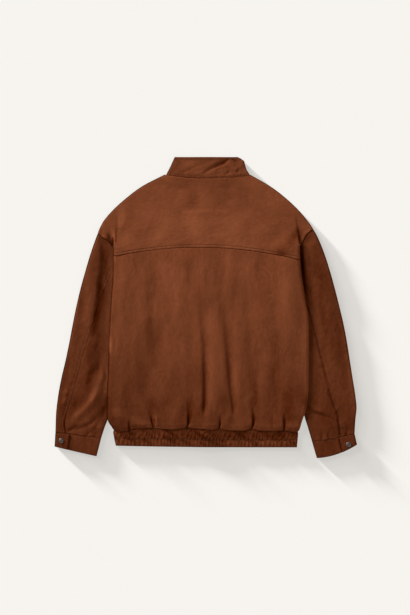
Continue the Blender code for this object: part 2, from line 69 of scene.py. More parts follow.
# Side fold of the body, which lies over the sleeves.
SIDE_FOLD = {
    "left": [At(150, 231), At(91, 231.5), At(34, 235), At(-31, 239), At(-100, 241.5),
             At(-164, 244), At(-214, 246), At(-262, 247), At(-282, 244), At(-291, 240),
             At(-300, 234), At(-306, 232.5)],
    "right": [At(154, 235), At(124, 236), At(82, 240), At(41, 246), At(11, 250.5), At(-21, 257),
              At(-56, 258.5), At(-199, 258), At(-234, 254.5), At(-264, 248.5), At(-276, 244),
              At(-300, 236), At(-306, 234)],
}
# Inner fold of the sleeve: under the body first, then clear of it down to the cuff.
SLEEVE_FOLD = {
    "left": [At(-25, 165), At(-60, 183), At(-100, 200), At(-180, 225), At(-240, 237),
             At(-279, 244.5), At(-299, 252), At(-327, 261)],
    "right": [At(-25, 178), At(-60, 196), At(-100, 214), At(-180, 234), At(-240, 242),
              At(-271, 247.5), At(-299, 256), At(-335, 266.5)],
}


def smooth(t):
    """0 to 1 with level ends."""
    t = np.clip(t, 0.0, 1.0)
    return t * t * (3 - 2 * t)


def ramp(value, start, end):
    """0 at start to 1 at end, and level beyond them."""
    return smooth((value - start) / (end - start))


def mix(a, b, t):
    return a + (b - a) * t


def bell(distance, width):
    return np.exp(-((distance / width) ** 2))


def follow(table, y):
    """The table's x at heights y, on a smooth curve that never overshoots its rows."""
    ys = np.array([row.y for row in table], float)[::-1]
    xs = np.array([row.x for row in table], float)[::-1]
    steps = np.diff(xs) / np.diff(ys)
    before, after = steps[:-1], steps[1:]
    same = before * after > 0
    inner = np.where(same, 2 * before * after / np.where(same, before + after, 1.0), 0.0)
    slopes = np.concatenate([steps[:1], inner, steps[-1:]])
    y = np.clip(y, ys[0], ys[-1])
    k = np.clip(np.searchsorted(ys, y, side="right") - 1, 0, len(ys) - 2)
    run = ys[k + 1] - ys[k]
    t = (y - ys[k]) / run
    return (
        (1 + 2 * t) * (1 - t) ** 2 * xs[k]
        + t * (1 - t) ** 2 * run * slopes[k]
        + t * t * (3 - 2 * t) * xs[k + 1]
        + t * t * (t - 1) * run * slopes[k + 1]
    )


def body_edge(side, y):
    """Where the body's upper layer ends: shoulder outline, armhole seam or side fold."""
    low = np.where(
        y >= SIDE_FOLD[side][0].y, follow(ARMHOLE[side], y), follow(SIDE_FOLD[side], y)
    )
    return np.where(y >= ARMHOLE[side][0].y, follow(OUTLINE[side], y), low)


def tuck_edge(side, y):
    """How far inwards the sleeve reaches under the body."""
    return np.where(
        y > ARMHOLE[side][-1].y, follow(ARMHOLE[side], y), follow(SLEEVE_FOLD[side], y)
    )


def each_side(rule, x, y):
    """rule(side, y) for the side that each point is on."""
    return np.where(x < 0, rule("left", y), rule("right", y))


# Middle heights of the layers, from the surface up.
FLOOR_MIDDLE = WALL / 2
OVER_SLEEVE = 7.3
BACK_MIDDLE = 7.2
BACK_OVER_SLEEVE = 12.9
BAND_MIDDLE = 4.5
# How much higher the hem and its puffs lie, and how far in the rolls at the sides begin.
HEM_LIFT = 2.6
PUFF_HEIGHT = 1.6
SIDE_REACH = 9.5


def over_lap(x):
    """Bulge of the upper layer over the lapped fronts."""
    return 3.0 * bell(x, 36)


def body_middle(x, y):
    """Middle of the body's upper layer, raised over the sleeves and gathered at the waistband."""
    reach = each_side(tuck_edge, x, y)
    over_sleeve = ramp(np.abs(x) - reach, -85, -8) * (1 - ramp(y, 148, 193))
    over_sleeve = over_sleeve * mix(0.45, 1, ramp(y, -300, -260))
    middle = mix(BACK_MIDDLE, BACK_OVER_SLEEVE, over_sleeve)
    middle = middle + over_lap(x) * mix(1, 0.35, ramp(y, 285, 315))
    middle = middle + PUFF_HEIGHT * (1 - ramp(y, -318, -223))
    hem = BAND_MIDDLE + over_lap(x) + HEM_LIFT
    return mix(hem, middle, ramp(y, -308, -293))


# A soft crease. path runs through a few plan points, from its foot to its tip. rise (above 0 for
# a ridge, below 0 for a trough) and width are given at even steps along it. lean widens one
# flank and narrows the other, as on a tuck that has been pushed over.
Crease = namedtuple("Crease", "path rise width lean")
CREASE_STEPS = 16


def crease(path, rise, width, lean=0.0):
    """One crease. path is x, y, x, y and so on, and a single width holds all along it."""
    widths = (width, width) if np.isscalar(width) else width
    return Crease(np.reshape(path, (-1, 2)), rise, widths, lean)


def creases(*rows):
    return [crease(*row) for row in rows]


def drawn(path, steps):
    """Evenly drawn points on a smooth curve through the path's points."""
    points = np.array(path, float)
    at = np.linspace(0, len(points) - 1, steps)
    if len(points) == 2:
        return points[0] + (points[1] - points[0]) * at[:, None]
    ends = np.vstack([2 * points[0] - points[1], points, 2 * points[-1] - points[-2]])
    k = np.clip(at.astype(int), 0, len(points) - 2)
    t = (at - k)[:, None]
    a, b, c, d = ends[k], ends[k + 1], ends[k + 2], ends[k + 3]
    return 0.5 * (2 * b + (c - a) * t + (2 * a - 5 * b + 4 * c - d) * t**2
                  + (3 * b - a - 3 * c + d) * t**3)


def creased(table, x, y):
    """Sum of the creases' heights at the points."""
    total = np.zeros(np.broadcast(x, y).shape)
    x, y = np.broadcast_arrays(x, y)
    for fold in table:
        path = drawn(fold.path, CREASE_STEPS)
        margin = 3.2 * max(fold.width) * (1 + abs(fold.lean))
        low, high = path.min(axis=0) - margin, path.max(axis=0) + margin
        near = (x > low[0]) & (x < high[0]) & (y > low[1]) & (y < high[1])
        if not near.any():
            continue
        px, py = x[near], y[near]
        best = np.full(px.shape, np.inf)
        along, flank = np.zeros(px.shape), np.ones(px.shape)
        for k, (start, end) in enumerate(zip(path, path[1:])):
            run = end - start
            t = ((px - start[0]) * run[0] + (py - start[1]) * run[1]) / (run @ run)
            t = np.clip(t, 0, 1)
            dx, dy = px - start[0] - run[0] * t, py - start[1] - run[1] * t
            distance = np.hypot(dx, dy)
            nearer = distance < best
            best = np.where(nearer, distance, best)
            along = np.where(nearer, (k + t) / (CREASE_STEPS - 1), along)
            flank = np.where(nearer, np.sign(run[0] * dy - run[1] * dx), flank)
        width = along_crease(fold.width, along) * (1 + fold.lean * flank)
        total[near] += along_crease(fold.rise, along) * bell(best, width)
    return total


def along_crease(values, along):
    """The values at even steps from the foot (0) to the tip (1), joined smoothly."""
    step = np.clip(along, 0, 1) * (len(values) - 1)
    k = np.minimum(step.astype(int), len(values) - 2)
    values = np.array(values, float)
    return mix(values[k], values[k + 1], smooth(step - k))


def uneven(x, y, size, height, stretch=1.0):
    """Soft unevenness of worn suede: noise of this size (longer along Y by stretch) and height."""
    x, y = np.broadcast_arrays(x, y)
    values = [
        noise.noise(Vector((a / size, b / size / stretch, size)))
        for a, b in zip(x.ravel(), y.ravel())
    ]
    return height * np.array(values).reshape(x.shape)


def spaced(count, low, high, centres, width, extra):
    """count values from low to high, closer together near the centres."""
    fine = np.linspace(low, high, 4000)
    density = 1 + extra * sum(bell(fine - centre, width) for centre in centres)
    sums = np.cumsum(density)
    return np.interp(np.linspace(sums[0], sums[-1], count), sums, fine)


# Steps round a roll, from its top (0) to its underside (1), and across a turned-under edge.
ROLL_TURNS = np.linspace(0, 1, 15)
UNDER_SHARES = np.linspace(0, 1, 13)[:-1]


def roll(edge, sign, reach, high, low, turn):
    """(x, z) on the half-round edge of a flattened tube, from its top (0) to its underside (1)."""
    x = edge - sign * (WALL / 2 + reach * (1 - np.sin(np.pi * turn)))
    return x, (high + low) / 2 + (high - low) / 2 * np.cos(np.pi * turn)


def points(x, y, z):
    return np.stack(np.broadcast_arrays(x, y, z), axis=-1)


def turned_under(side, y, y_under, under, reach, low, height):
    """Points from the inner end of a turned-under edge, round the side roll, to its top. y,
    y_under and under are columns, and low and height give middle heights at a point."""
    sign = SIGN[side]
    edge = sign * body_edge(side, y)
    start = edge - sign * (WALL / 2 + reach)
    x = mix(sign * under, start, UNDER_SHARES)
    flat = points(x, y_under, low(x, y_under))
    turns = ROLL_TURNS[::-1]
    x, z = roll(edge, sign, reach, height(start, y), low(start, y_under), turns)
    rolled = points(x, mix(y, y_under, smooth(turns / 0.6)), z)
    return np.concatenate([flat, rolled], axis=1)


def body_rows(left, right, bow, columns, height):
    """Rows across the body, between the turned_under points of its sides."""
    right = right[:, ::-1]
    x0, x1 = left[:, -1:, 0], right[:, :1, 0]
    y0, y1 = left[:, -1:, 1], right[:, :1, 1]
    x = np.where(columns > 0, x1 * columns, -x0 * columns)
    t = (x - x0) / (x1 - x0)
    y = mix(y0, y1, t) + bow * 4 * t * (1 - t)
    return np.concatenate([left, points(x, y, height(x, y)), right], axis=1)


def feed(tree, made, inputs):
    """Link the node's inputs to sockets, or set them to values."""
    for key, value in inputs.items():
        if isinstance(value, bpy.types.NodeSocket):
            tree.links.new(value, made.inputs[key])
        else:
            made.inputs[key].default_value = value


def node(tree, kind, inputs=(), **settings):
    """A new shader node, with its inputs and settings."""
    made = tree.nodes.new(kind)
    for name, value in settings.items():
        setattr(made, name, value)
    feed(tree, made, dict(inputs))
    return made


def new_material(name):
    """A material, its node tree, its shader and a socket of Object coordinates."""
    material = bpy.data.materials.new(name)
    material.use_nodes = True
    tree = material.node_tree
    place = node(tree, "ShaderNodeTexCoord").outputs["Object"]
    return material, tree, tree.nodes["Principled BSDF"], place


def nap_group():
    """Brushed nap, from the dark colour to the light one by the given shade, which carries painted
    light and shade as well as the nap's tone. Wide cloudy patches, streaks along the brushing,
    finger marks and a short grain, in metres. Below a shade of 0 the colour darkens further, which
    deepens the painted shade."""
    tree = bpy.data.node_groups.new("brushed_nap", "ShaderNodeTree")
    for name, kind in (("Position", "NodeSocketVector"), ("Dark", "NodeSocketColor"),
                       ("Light", "NodeSocketColor"), ("Shade", "NodeSocketFloat")):
        tree.interface.new_socket(name, in_out="INPUT", socket_type=kind)
    for name, kind in (("Colour", "NodeSocketColor"), ("Roughness", "NodeSocketFloat"),
                       ("Height", "NodeSocketFloat")):
        tree.interface.new_socket(name, in_out="OUTPUT", socket_type=kind)
    given = node(tree, "NodeGroupInput").outputs

    def pattern(scale, stretch, detail, rough=0.55):
        place = node(tree, "ShaderNodeMapping",
                     {"Vector": given["Position"], "Scale": (1.0, stretch, 1.0)})
        return node(tree, "ShaderNodeTexNoise", {
            "Vector": place.outputs[0], "Scale": scale, "Detail": detail, "Roughness": rough,
        }).outputs["Fac"]

    def spread(value, low, high, to_low, to_high):
        return node(tree, "ShaderNodeMapRange", {
            "Value": value, "From Min": low, "From Max": high, "To Min": to_low, "To Max": to_high,
        }).outputs[0]

    def add(a, b):
        return node(tree, "ShaderNodeMath", {0: a, 1: b}, operation="ADD").outputs[0]

    patches = spread(pattern(10, 0.75, 3.0), 0.30, 0.70, -0.10, 0.10)
    streaks = spread(pattern(34, 0.38, 2.0), 0.30, 0.70, -0.035, 0.035)
    marks = spread(pattern(150, 0.6, 4.0, 0.6), 0.30, 0.70, -0.055, 0.055)
    grain = spread(pattern(900, 0.8, 3.0, 0.6), 0.25, 0.75, -0.055, 0.055)
    value = add(add(patches, streaks), add(marks, grain))
    value = add(value, given["Shade"])
    colour = node(tree, "ShaderNodeMix", {0: value, 6: given["Dark"], 7: given["Light"]},
                  data_type="RGBA", clamp_factor=True)
    darker_below_zero = node(tree, "ShaderNodeHueSaturation", {
        "Value": spread(value, -0.5, 0.0, 0.12, 1.0), "Color": colour.outputs[2],
    })
    fibres = spread(pattern(2400, 0.5, 2.0, 0.7), 0.2, 0.8, -0.5, 0.5)
    rough = spread(grain, -0.06, 0.06, -0.5, 0.5)
    node(tree, "NodeGroupOutput", {
        "Colour": darker_below_zero.outputs[0],
        "Roughness": spread(add(marks, grain), -0.1, 0.1, 0.98, 0.86),
        "Height": add(add(fibres, rough), spread(marks, -0.05, 0.05, -1.2, 1.2)),
    })
    return tree


brushed_nap = nap_group()
# The dark and the light end of the suede's colour. Painted shade takes it down towards the dark
# end.
SUEDE_DARK = (0.052, 0.0092, 0.0014, 1.0)
SUEDE_LIGHT = (0.285, 0.091, 0.040, 1.0)
# Painted shade and light on turned edges and slopes. The first number darkens every turned edge,
# as rubbed wear and painted shade. The second paints shade where the slope faces this way on the
# plan, towards the windows, and paints light where it faces away.
EDGE_WEAR_AND_SHADE = 0.30
WINDOW_SLOPE_SHADE = 0.85
WINDOW_WAY = (-0.66, 0.75)
# Painted shade in the folds: how much darker a trough is painted for each millimetre of its depth,
# and how much lighter a low ridge is painted, up to its first millimetre.
HOLLOW_SHADE = 0.055
# Share of the wall that is left at a skived edge.
SKIVED = 0.45


def suede(name, shades, turn=0.0):
    """Suede in its two nap colours. shades are how light it is painted (0 dark, 1 light) at three
    heights on the plan, from the hem to the collar, as the piece's tone and painted light. The
    piece's attribute of tone and painted shade adds to them, and turn is the brushing's direction."""
    material, tree, shader, place = new_material(name)
    turned = node(tree, "ShaderNodeMapping",
                  {"Vector": place, "Rotation": (0.0, 0.0, turn)}).outputs[0]
    # Painted shade: the shades run along the plan from the hem to the collar, and on most pieces
    # they are darker towards the hem.
    along = node(tree, "ShaderNodeSeparateXYZ", {0: place}).outputs["Y"]
    share = node(tree, "ShaderNodeMapRange", {
        "Value": along, "From Min": -0.35, "From Max": 0.33, "To Min": 0.0, "To Max": 1.0,
    }).outputs[0]
    curve = node(tree, "ShaderNodeFloatCurve", {"Value": share})
    line = curve.mapping.curves[0].points
    line[0].location = (0.0, shades[0])
    line[1].location = (1.0, shades[2])
    line.new(0.5, shades[1])
    curve.mapping.update()
    own_nap_and_shade = node(tree, "ShaderNodeAttribute", attribute_name="nap_and_shade").outputs["Fac"]
    shade = node(tree, "ShaderNodeMath", {0: own_nap_and_shade, 1: curve.outputs[0]}).outputs[0]
    nap_and_shade = node(tree, "ShaderNodeGroup", {
        "Position": turned, "Dark": SUEDE_DARK, "Light": SUEDE_LIGHT, "Shade": shade,
    }, node_tree=brushed_nap)
    bump = node(tree, "ShaderNodeBump", {
        "Height": nap_and_shade.outputs["Height"], "Strength": 0.5, "Distance": 0.00016,
    })
    feed(tree, shader, {
        "Base Color": nap_and_shade.outputs["Colour"], "Roughness": nap_and_shade.outputs["Roughness"],
        "Normal": bump.outputs[0], "Specular IOR Level": 0.0, "Sheen Weight": 0.06,
        "Sheen Roughness": 0.5, "Sheen Tint": (1.0, 0.42, 0.20, 1.0),
    })
    return material


def cloth(name, rows, material, folds=(), tone_and_shade=(), rim=SKIVED):
    """A piece of suede: a grid through rows of points in the middle of its wall, in millimetres,
    made solid about them. The troughs of its folds are painted dark as shade. The patches, a
    table of creases with shades for rises, are painted lighter or darker: the nap's own tone, and
    painted shade and light. Turned edges and slopes get wear and painted shade where they face the
    windows, and painted light where they face away. rim is the share of the wall at its edges,
    which are skived or folded."""
    across, along = rows.shape[1] - 1, rows.shape[0] - 1
    bpy.ops.object.select_all(action="DESELECT")
    bpy.ops.mesh.primitive_grid_add(x_subdivisions=across, y_subdivisions=along, size=1)
    piece = bpy.context.object
    piece.name = piece.data.name = name
    flat = np.empty(rows.shape[0] * rows.shape[1] * 3)
    piece.data.vertices.foreach_get("co", flat)
    column = np.rint((flat[0::3] + 0.5) * across).astype(int)
    row = np.rint((flat[1::3] + 0.5) * along).astype(int)
    place = rows[row, column]
    piece.data.vertices.foreach_set("co", (place * MM).ravel())
    inside = (column > 0) & (column < across) & (row > 0) & (row < along)
    full = piece.vertex_groups.new(name="full_wall")
    full.add(np.flatnonzero(inside).tolist(), 1.0, "REPLACE")
    piece.data.materials.append(material)
    normals = np.empty(len(flat))
    piece.data.vertex_normals.foreach_get("vector", normals)
    upper_side = np.sign(normals[2::3] @ (place[:, 2] - place[:, 2].mean()))
    # Painted shade on slopes and edges that face the windows, and painted light on those that face
    # away, with wear and painted shade on every turned edge, fading in as the surface tilts.
    facing_windows = upper_side * (WINDOW_WAY[0] * normals[0::3] + WINDOW_WAY[1] * normals[1::3])
    wear_and_slope_shade = EDGE_WEAR_AND_SHADE + WINDOW_SLOPE_SHADE * facing_windows
    tilt = np.sqrt(np.clip(1 - normals[2::3] ** 2, 0, None))
    wear_and_slope_shade = wear_and_slope_shade * ramp(tilt, 0.16, 0.66)
    nap_and_shade = piece.data.attributes.new("nap_and_shade", "FLOAT", "POINT")
    # Painted shade in the troughs of the folds, added to the given patches of tone and painted
    # shade.
    hollow = np.minimum(creased(folds, place[:, 0], place[:, 1]), 1.0)
    tone_and_painted_shade = creased(tone_and_shade, place[:, 0], place[:, 1]) + HOLLOW_SHADE * hollow
    nap_and_shade.data.foreach_set("value", tone_and_painted_shade * smooth(upper_side * normals[2::3] / 0.3) - wear_and_slope_shade)
    thick = piece.modifiers.new("wall", "SOLIDIFY")
    thick.thickness = WALL * MM
    thick.offset = 0.0
    thick.vertex_group = full.name
    thick.thickness_vertex_group = rim
    bpy.ops.object.modifier_apply(modifier=thick.name)
    piece.vertex_groups.clear()
    bpy.ops.object.shade_smooth_by_angle(angle=np.radians(50))
    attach(piece, "root")
    return piece


# Rows of the yoke: the heights of its ends, how far its middle bows up, the reach of its side
# roll, the height of its turned-under edge, and how far in that edge goes on each side.
YokeRow = namedtuple("YokeRow", "left right bow reach low under_left under_right")
YOKE_ROWS = [
    YokeRow(129.7, 121.7, 25, SIDE_REACH, OVER_SLEEVE, 216.5, 220.5),
    YokeRow(140, 138, 20, 8.0, OVER_SLEEVE, 225, 227.5),
    YokeRow(149.5, 153, 14.5, 4.0, OVER_SLEEVE, 226, 230.5),
    YokeRow(163, 163.5, 11.5, 2.2, 5.0, 236, 237),
    YokeRow(172, 182, 8.5, 2.2, 5.0, 247, 248),
    YokeRow(179, 191.5, 6.5, 2.2, 5.0, 257, 258),
    YokeRow(186, 197, 4.5, 2.2, 5.0, 265, 264.5),
    YokeRow(212, 212, 2, 3.8, FLOOR_MIDDLE, 229, 229),
    YokeRow(242, 242, 0, 4.2, FLOOR_MIDDLE, 204, 206),
    YokeRow(272, 272, -2, 5.0, FLOOR_MIDDLE, 170, 174),
    YokeRow(302, 302, -5, 6.0, FLOOR_MIDDLE, 128, 133),
    YokeRow(332, 332, -10, 6.5, FLOOR_MIDDLE, 74, 82),
]
# How far the topstitching runs from the seam, and the gap between two pieces that meet.
YOKE_STITCH = 5.6
SEAM_GAP = 0.5
# Where the fold at the body's side rises into the yoke.
SHOULDER_FOLD = {
    "left": [At(222, 222), At(200, 226.5), At(175, 230), At(150, 231.5)],
    "right": [At(232, 224), At(205, 229), At(180, 233), At(154, 236)],
}
YOKE_CREASES = creases(
    ((-52, 235, 0, 237.5, 50, 235), (0.5, 0.35), (4.5, 4), 0.2),
    ((-50, 243, 10, 246), (-0.3, -0.2), 6),
    ((-206, 205, -203, 226, -205, 246), (0.9, 0.4), (7, 9)),
    ((-236, 166, -238, 190, -246, 212), (-1.4, -0.3), (5, 7), 0.3),
    ((-246, 176, -250, 188, -252, 200), (0.9, 0.3), (4.5, 5)),
    ((-258, 182, -259, 190, -257, 200), (-0.8, -0.2), (3.5, 4)),
    ((-150, 160, -110, 205, -95, 250), (-0.5, -0.2), (22, 18)),
    ((60, 180, 120, 230, 135, 275), (0.6, 0.3), (24, 20)),
    ((205, 150, 196, 185, 180, 215), (0.7, 0.2), (14, 16)),
    ((-90, 300, -20, 292, 60, 298), (-0.5, -0.4), 9, 0.2),
)


def spots(*patches):
    """Round patches of nap tone and of painted shade and light: each is (x, y, reach across,
    reach along, shade).
    """
    return [
        crease((x, y - along, x, y + along), (0.5 * shade, shade, 0.5 * shade), across)
        for x, y, across, along, shade in patches
    ]


# Patches painted lighter or darker, with shades for rises: the nap's tone, painted shade along the
# shoulder folds, the side fold lines and the yoke's right end, and painted highlights on the
# ridges beside the folds.
YOKE_TONE_AND_SHADE = spots(
    (-212, 232, 14, 14, 0.12), (-241, 168, 5, 8, 0.1), (-192, 148, 22, 8, 0.12),
    (32, 244, 24, 8, 0.12), (50, 150, 20, 12, 0.08), (-30, 262, 16, 10, -0.06),
    (-70, 146, 14, 8, -0.1), (-120, 318, 20, 6, -0.1), (200, 262, 24, 20, -0.12),
    (204, 204, 20, 24, -0.08), (238, 180, 7, 12, -0.08), (95, 210, 16, 30, -0.05),
    (155, 244, 16, 16, -0.1), (206, 144, 14, 8, 0.12), (-69, 314, 16, 7, 0.1),
    (-219, 175, 8, 12, -0.12), (-42, 262, 26, 18, -0.08), (-123, 180, 34, 16, 0.07),
    (124, 186, 16, 9, 0.08), (-245, 194, 4, 6, 0.14), (-251, 205, 4, 5, -0.14),
) + creases(
    ((-60, 316, 10, 312, 70, 316), (-0.1, -0.14, -0.1), (26, 24)),
    ((-150, 225, -60, 205, 60, 190, 120, 205), (0.06, 0.1, 0.12, 0.04), (34, 40)),
    ((-110, 282, -20, 268, 60, 262), (0.03, 0.06, 0.02), (16, 18)),
    ((120, 262, 170, 210, 200, 160), (-0.02, -0.08, -0.1), (26, 24)),
    ((160, 128, 190, 140, 214, 160, 230, 182), (-0.12, -0.3, -0.34, -0.34), (24, 16)),
    ((-44, 300, -28, 266, -22, 246), (-0.08, -0.2, -0.12), 20),
    ((212, 170, 222, 182, 234, 196), (-0.1, -0.16, -0.06), 9),
    ((180, 128, 190, 134, 214, 132), (-0.1, -0.14, -0.06), 12),
    ((-60, 196, -46, 172, -56, 148), (-0.04, -0.1, -0.06), 18),
    ((28, 316, 32, 282, 34, 240), (0.06, 0.1, 0.02), (18, 16)),
    ((-170, 262, -150, 250, -120, 258), (0.04, 0.07, 0.02), 20),
    ((-235, 128, -237, 150, -239, 172, -241, 192), (-0.3, -0.5, -0.22, -0.02), 8),
    ((-204, 186, -202, 214, -205, 244), (0.02, 0.14, 0.04), (9, 10)),
    ((-257, 196, -246, 176, -236, 152), (-0.1, -0.3, -0.3), (6, 7)),
    ((-223, 240, -223, 214, -224, 190, -224, 164), (-0.08, -0.16, -0.46, -0.4), (2, 2.4)),
    ((-217, 240, -216, 216, -216, 188), (0.06, 0.24, 0.1), (3, 3.2)),
    ((226, 226, 229, 206, 232, 186, 236, 162), (-0.12, -0.3, -0.34, -0.34), (2.2, 2.4)),
)


def welt(distance):
    """Lapped seam: a raised edge, and the ditch of the topstitching beside it."""
    return 0.2 * bell(distance - 2.8, 2.0) - 0.5 * bell(distance - YOKE_STITCH, 1.1)


def pucker(run, distance, reach):
    """Small puckers that stitching draws up beside a seam."""
    wave = np.sin(run / 1.9 + 2.2 * np.sin(run / 13)) + 0.5 * np.sin(run / 0.9 + 1.0)
    return 0.09 * wave * bell(distance, reach)


def side_fold_step(x, y):
    """The body's side fold dies away up the yoke: raised inside it, and low towards the sleeve."""
    total = np.zeros(np.broadcast(x, y).shape)
    for side, sign in SIGN.items():
        table = SHOULDER_FOLD[side]
        outside = sign * x - follow(table, y)
        depth = smooth((table[0].y + 6 - y) / 60) * (y > 100)
        soft = mix(5.0, 16.0, ramp(y - table[-1].y, 0, 60))
        drop = smooth(outside / soft + 0.35) * ramp(outside, -40, 0)
        drop = drop * (body_middle(x, y) - 7.0) * ramp(y - table[-1].y, -14, -4)
        ridge = 1.1 * bell(np.minimum(outside + 6, 0), 22) * (1 - ramp(outside, -6, 2))
        total = total + depth * (ridge * (outside > -80) - drop)
    return total


def yoke_middle(x, y):
    seam = follow_seam(x)
    height = body_middle(x, y) + side_fold_step(x, y) + creased(YOKE_CREASES, x, y)
    calm = smooth((y - seam) / 14)
    height = height + uneven(x, y, 38, 0.75) * calm + uneven(x, y, 13, 0.16) * calm
    return height + welt(y - seam) + pucker(x, y - seam - 3, 5)


def follow_seam(x):
    """Height of the yoke seam at x."""
    row = YOKE_ROWS[0]
    left, right = (
        body_edge(side, y) - WALL / 2 - SIDE_REACH
        for side, y in (("left", row.left), ("right", row.right))
    )
    t = np.clip((x + left) / (left + right), 0, 1)
    return mix(row.left, row.right, t) + row.bow * 4 * t * (1 - t)


def neck_y(x):
    """Neck seam, which sags a little at the middle."""
    return 322.0 + 0.0009 * (x - 5.0) ** 2


def between(rows, at):
    """Each field of the rows as a column, read at these places (0 for the first row)."""
    return {
        key: np.interp(at, range(len(rows)), [getattr(row, key) for row in rows])[:, None]
        for key in rows[0]._fields
    }


at = spaced(112, 0, len(YOKE_ROWS) - 1, (0, 0.55, len(YOKE_ROWS) - 1), 0.5, 3.0)
yoke_table = between(YOKE_ROWS, at)
yoke_sides = [
    turned_under(side, yoke_table[side], yoke_table[side], yoke_table[f"under_{side}"],
                 yoke_table["reach"], lambda x, y: yoke_table["low"], yoke_middle)
    for side in SIGN
]
yoke_columns = spaced(215, -0.985, 0.985, (-0.985, 0.985), 0.12, 1.2)
yoke_rows = body_rows(*yoke_sides, yoke_table["bow"], yoke_columns, yoke_middle)
to_neck = neck_y(yoke_rows[-1, :, 0]) - SEAM_GAP / 2 - yoke_rows[-1, :, 1]
yoke_rows[..., 1] += smooth(at - len(YOKE_ROWS) + 2)[:, None] * to_neck
yoke_suede = suede("yoke_suede", (0.38, 0.60, 0.55), 1.4)
yoke = cloth("yoke_shell", yoke_rows, yoke_suede, YOKE_CREASES, YOKE_TONE_AND_SHADE)
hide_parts("yoke")

# Lockstitches in thick twisted thread, which sit half sunk in the suede.
STITCH_PITCH = 4.2
STITCH_LENGTH = 3.3
STITCH_WIDTH = 0.85

thread, tree, shader, place = new_material("brown_thread")
twist = node(tree, "ShaderNodeTexWave", {
    "Vector": place, "Scale": 620.0, "Distortion": 1.5, "Detail": 2.0,
}, bands_direction="DIAGONAL").outputs["Fac"]
tone = node(tree, "ShaderNodeMix", {
    0: twist, 6: (0.045, 0.014, 0.006, 1.0), 7: (0.17, 0.062, 0.03, 1.0),
}, data_type="RGBA")
strands = node(tree, "ShaderNodeBump", {"Height": twist, "Strength": 0.5, "Distance": 0.0001})
feed(tree, shader, {
    "Base Color": tone.outputs[2], "Normal": strands.outputs[0], "Roughness": 0.7,
    "Specular IOR Level": 0.2,
})


def modelled_stitch():
    """One stitch along X: a bead of eight sides, drawn out and flattened."""
    bpy.ops.object.select_all(action="DESELECT")
    bpy.ops.mesh.primitive_uv_sphere_add(segments=8, ring_count=5, radius=0.5 * MM)
    bead = bpy.context.object
    bead.scale = (STITCH_LENGTH, STITCH_WIDTH, 0.8 * STITCH_WIDTH)
    bpy.ops.object.transform_apply(location=False, rotation=True, scale=True)
    mesh = bead.data
    bpy.data.objects.remove(bead)
    return mesh


stitch_mesh = modelled_stitch()


def sew(name, piece, x, y, from_below=False):
    """A row of stitches along plan points (x, y) on the piece's upper or under face."""
    line = np.stack(np.broadcast_arrays(x, y), axis=1)
    runs = np.hypot(*np.diff(line, axis=0).T)
    walked = np.concatenate([[0], np.cumsum(runs)])
    places = np.arange(STITCH_PITCH / 2, walked[-1], STITCH_PITCH)
    ends = [
        np.stack([np.interp(places + half, walked, line[:, k]) for k in (0, 1)], axis=1)
        for half in (-STITCH_LENGTH / 2, STITCH_LENGTH / 2)
    ]
    start = -0.05 if from_below else 0.1
    look = Vector((0, 0, 1 if from_below else -1))
    seam = bmesh.new()
    for pair in zip(*ends):
        hits = [piece.ray_cast(Vector((*(end * MM), start)), look) for end in pair]
        if not all(hit[0] for hit in hits):
            continue
        along = hits[1][1] - hits[0][1]
        if along.length > 1.6 * STITCH_LENGTH * MM:
            continue
        out = (hits[0][2] + hits[1][2]).normalized()
        along = along.normalized()
        across = out.cross(along).normalized()
        turn = Matrix((along, across, along.cross(across))).transposed().to_4x4()
        middle = (hits[0][1] + hits[1][1]) / 2 + out * 0.12 * STITCH_WIDTH * MM
        first = len(seam.verts)
        seam.from_mesh(stitch_mesh)
        seam.verts.ensure_lookup_table()
        bmesh.ops.transform(
            seam, matrix=Matrix.Translation(middle) @ turn, verts=seam.verts[first:]
        )
    mesh = bpy.data.meshes.new(name)
    seam.to_mesh(mesh)
    seam.free()
    mesh.shade_smooth()
    row = bpy.data.objects.new(name, mesh)
    bpy.context.scene.collection.objects.link(row)
    mesh.materials.append(thread)
    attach(row, "root")
    return row


x = np.linspace(-226, 234, 60)
stitches = sew("yoke_topstitching", yoke, x, follow_seam(x) + YOKE_STITCH)

# Back -------------------------------------------------------------------------------------------
# The back is one wide piece of suede. Its sides turn under to the side seams, its top edge goes
# under the yoke's welt, and its hem is gathered and turned in over the waistband, which draws
# it into uneven pleats with puffs between them.

# The side seam on the under layer, where the back meets the fronts.
SIDE_SEAM = {
    "left": [At(-25, 165), At(-60, 192), At(-120, 216), At(-200, 226), At(-260, 229),
             At(-302, 219)],
    "right": [At(-25, 178), At(-60, 205), At(-120, 229), At(-200, 238), At(-260, 233),
              At(-302, 222)],
}
# Heights at which the upper layer and the under layer end, at the waistband.
HEM_LEVEL = -305.5
HEM_UNDER = -301.6
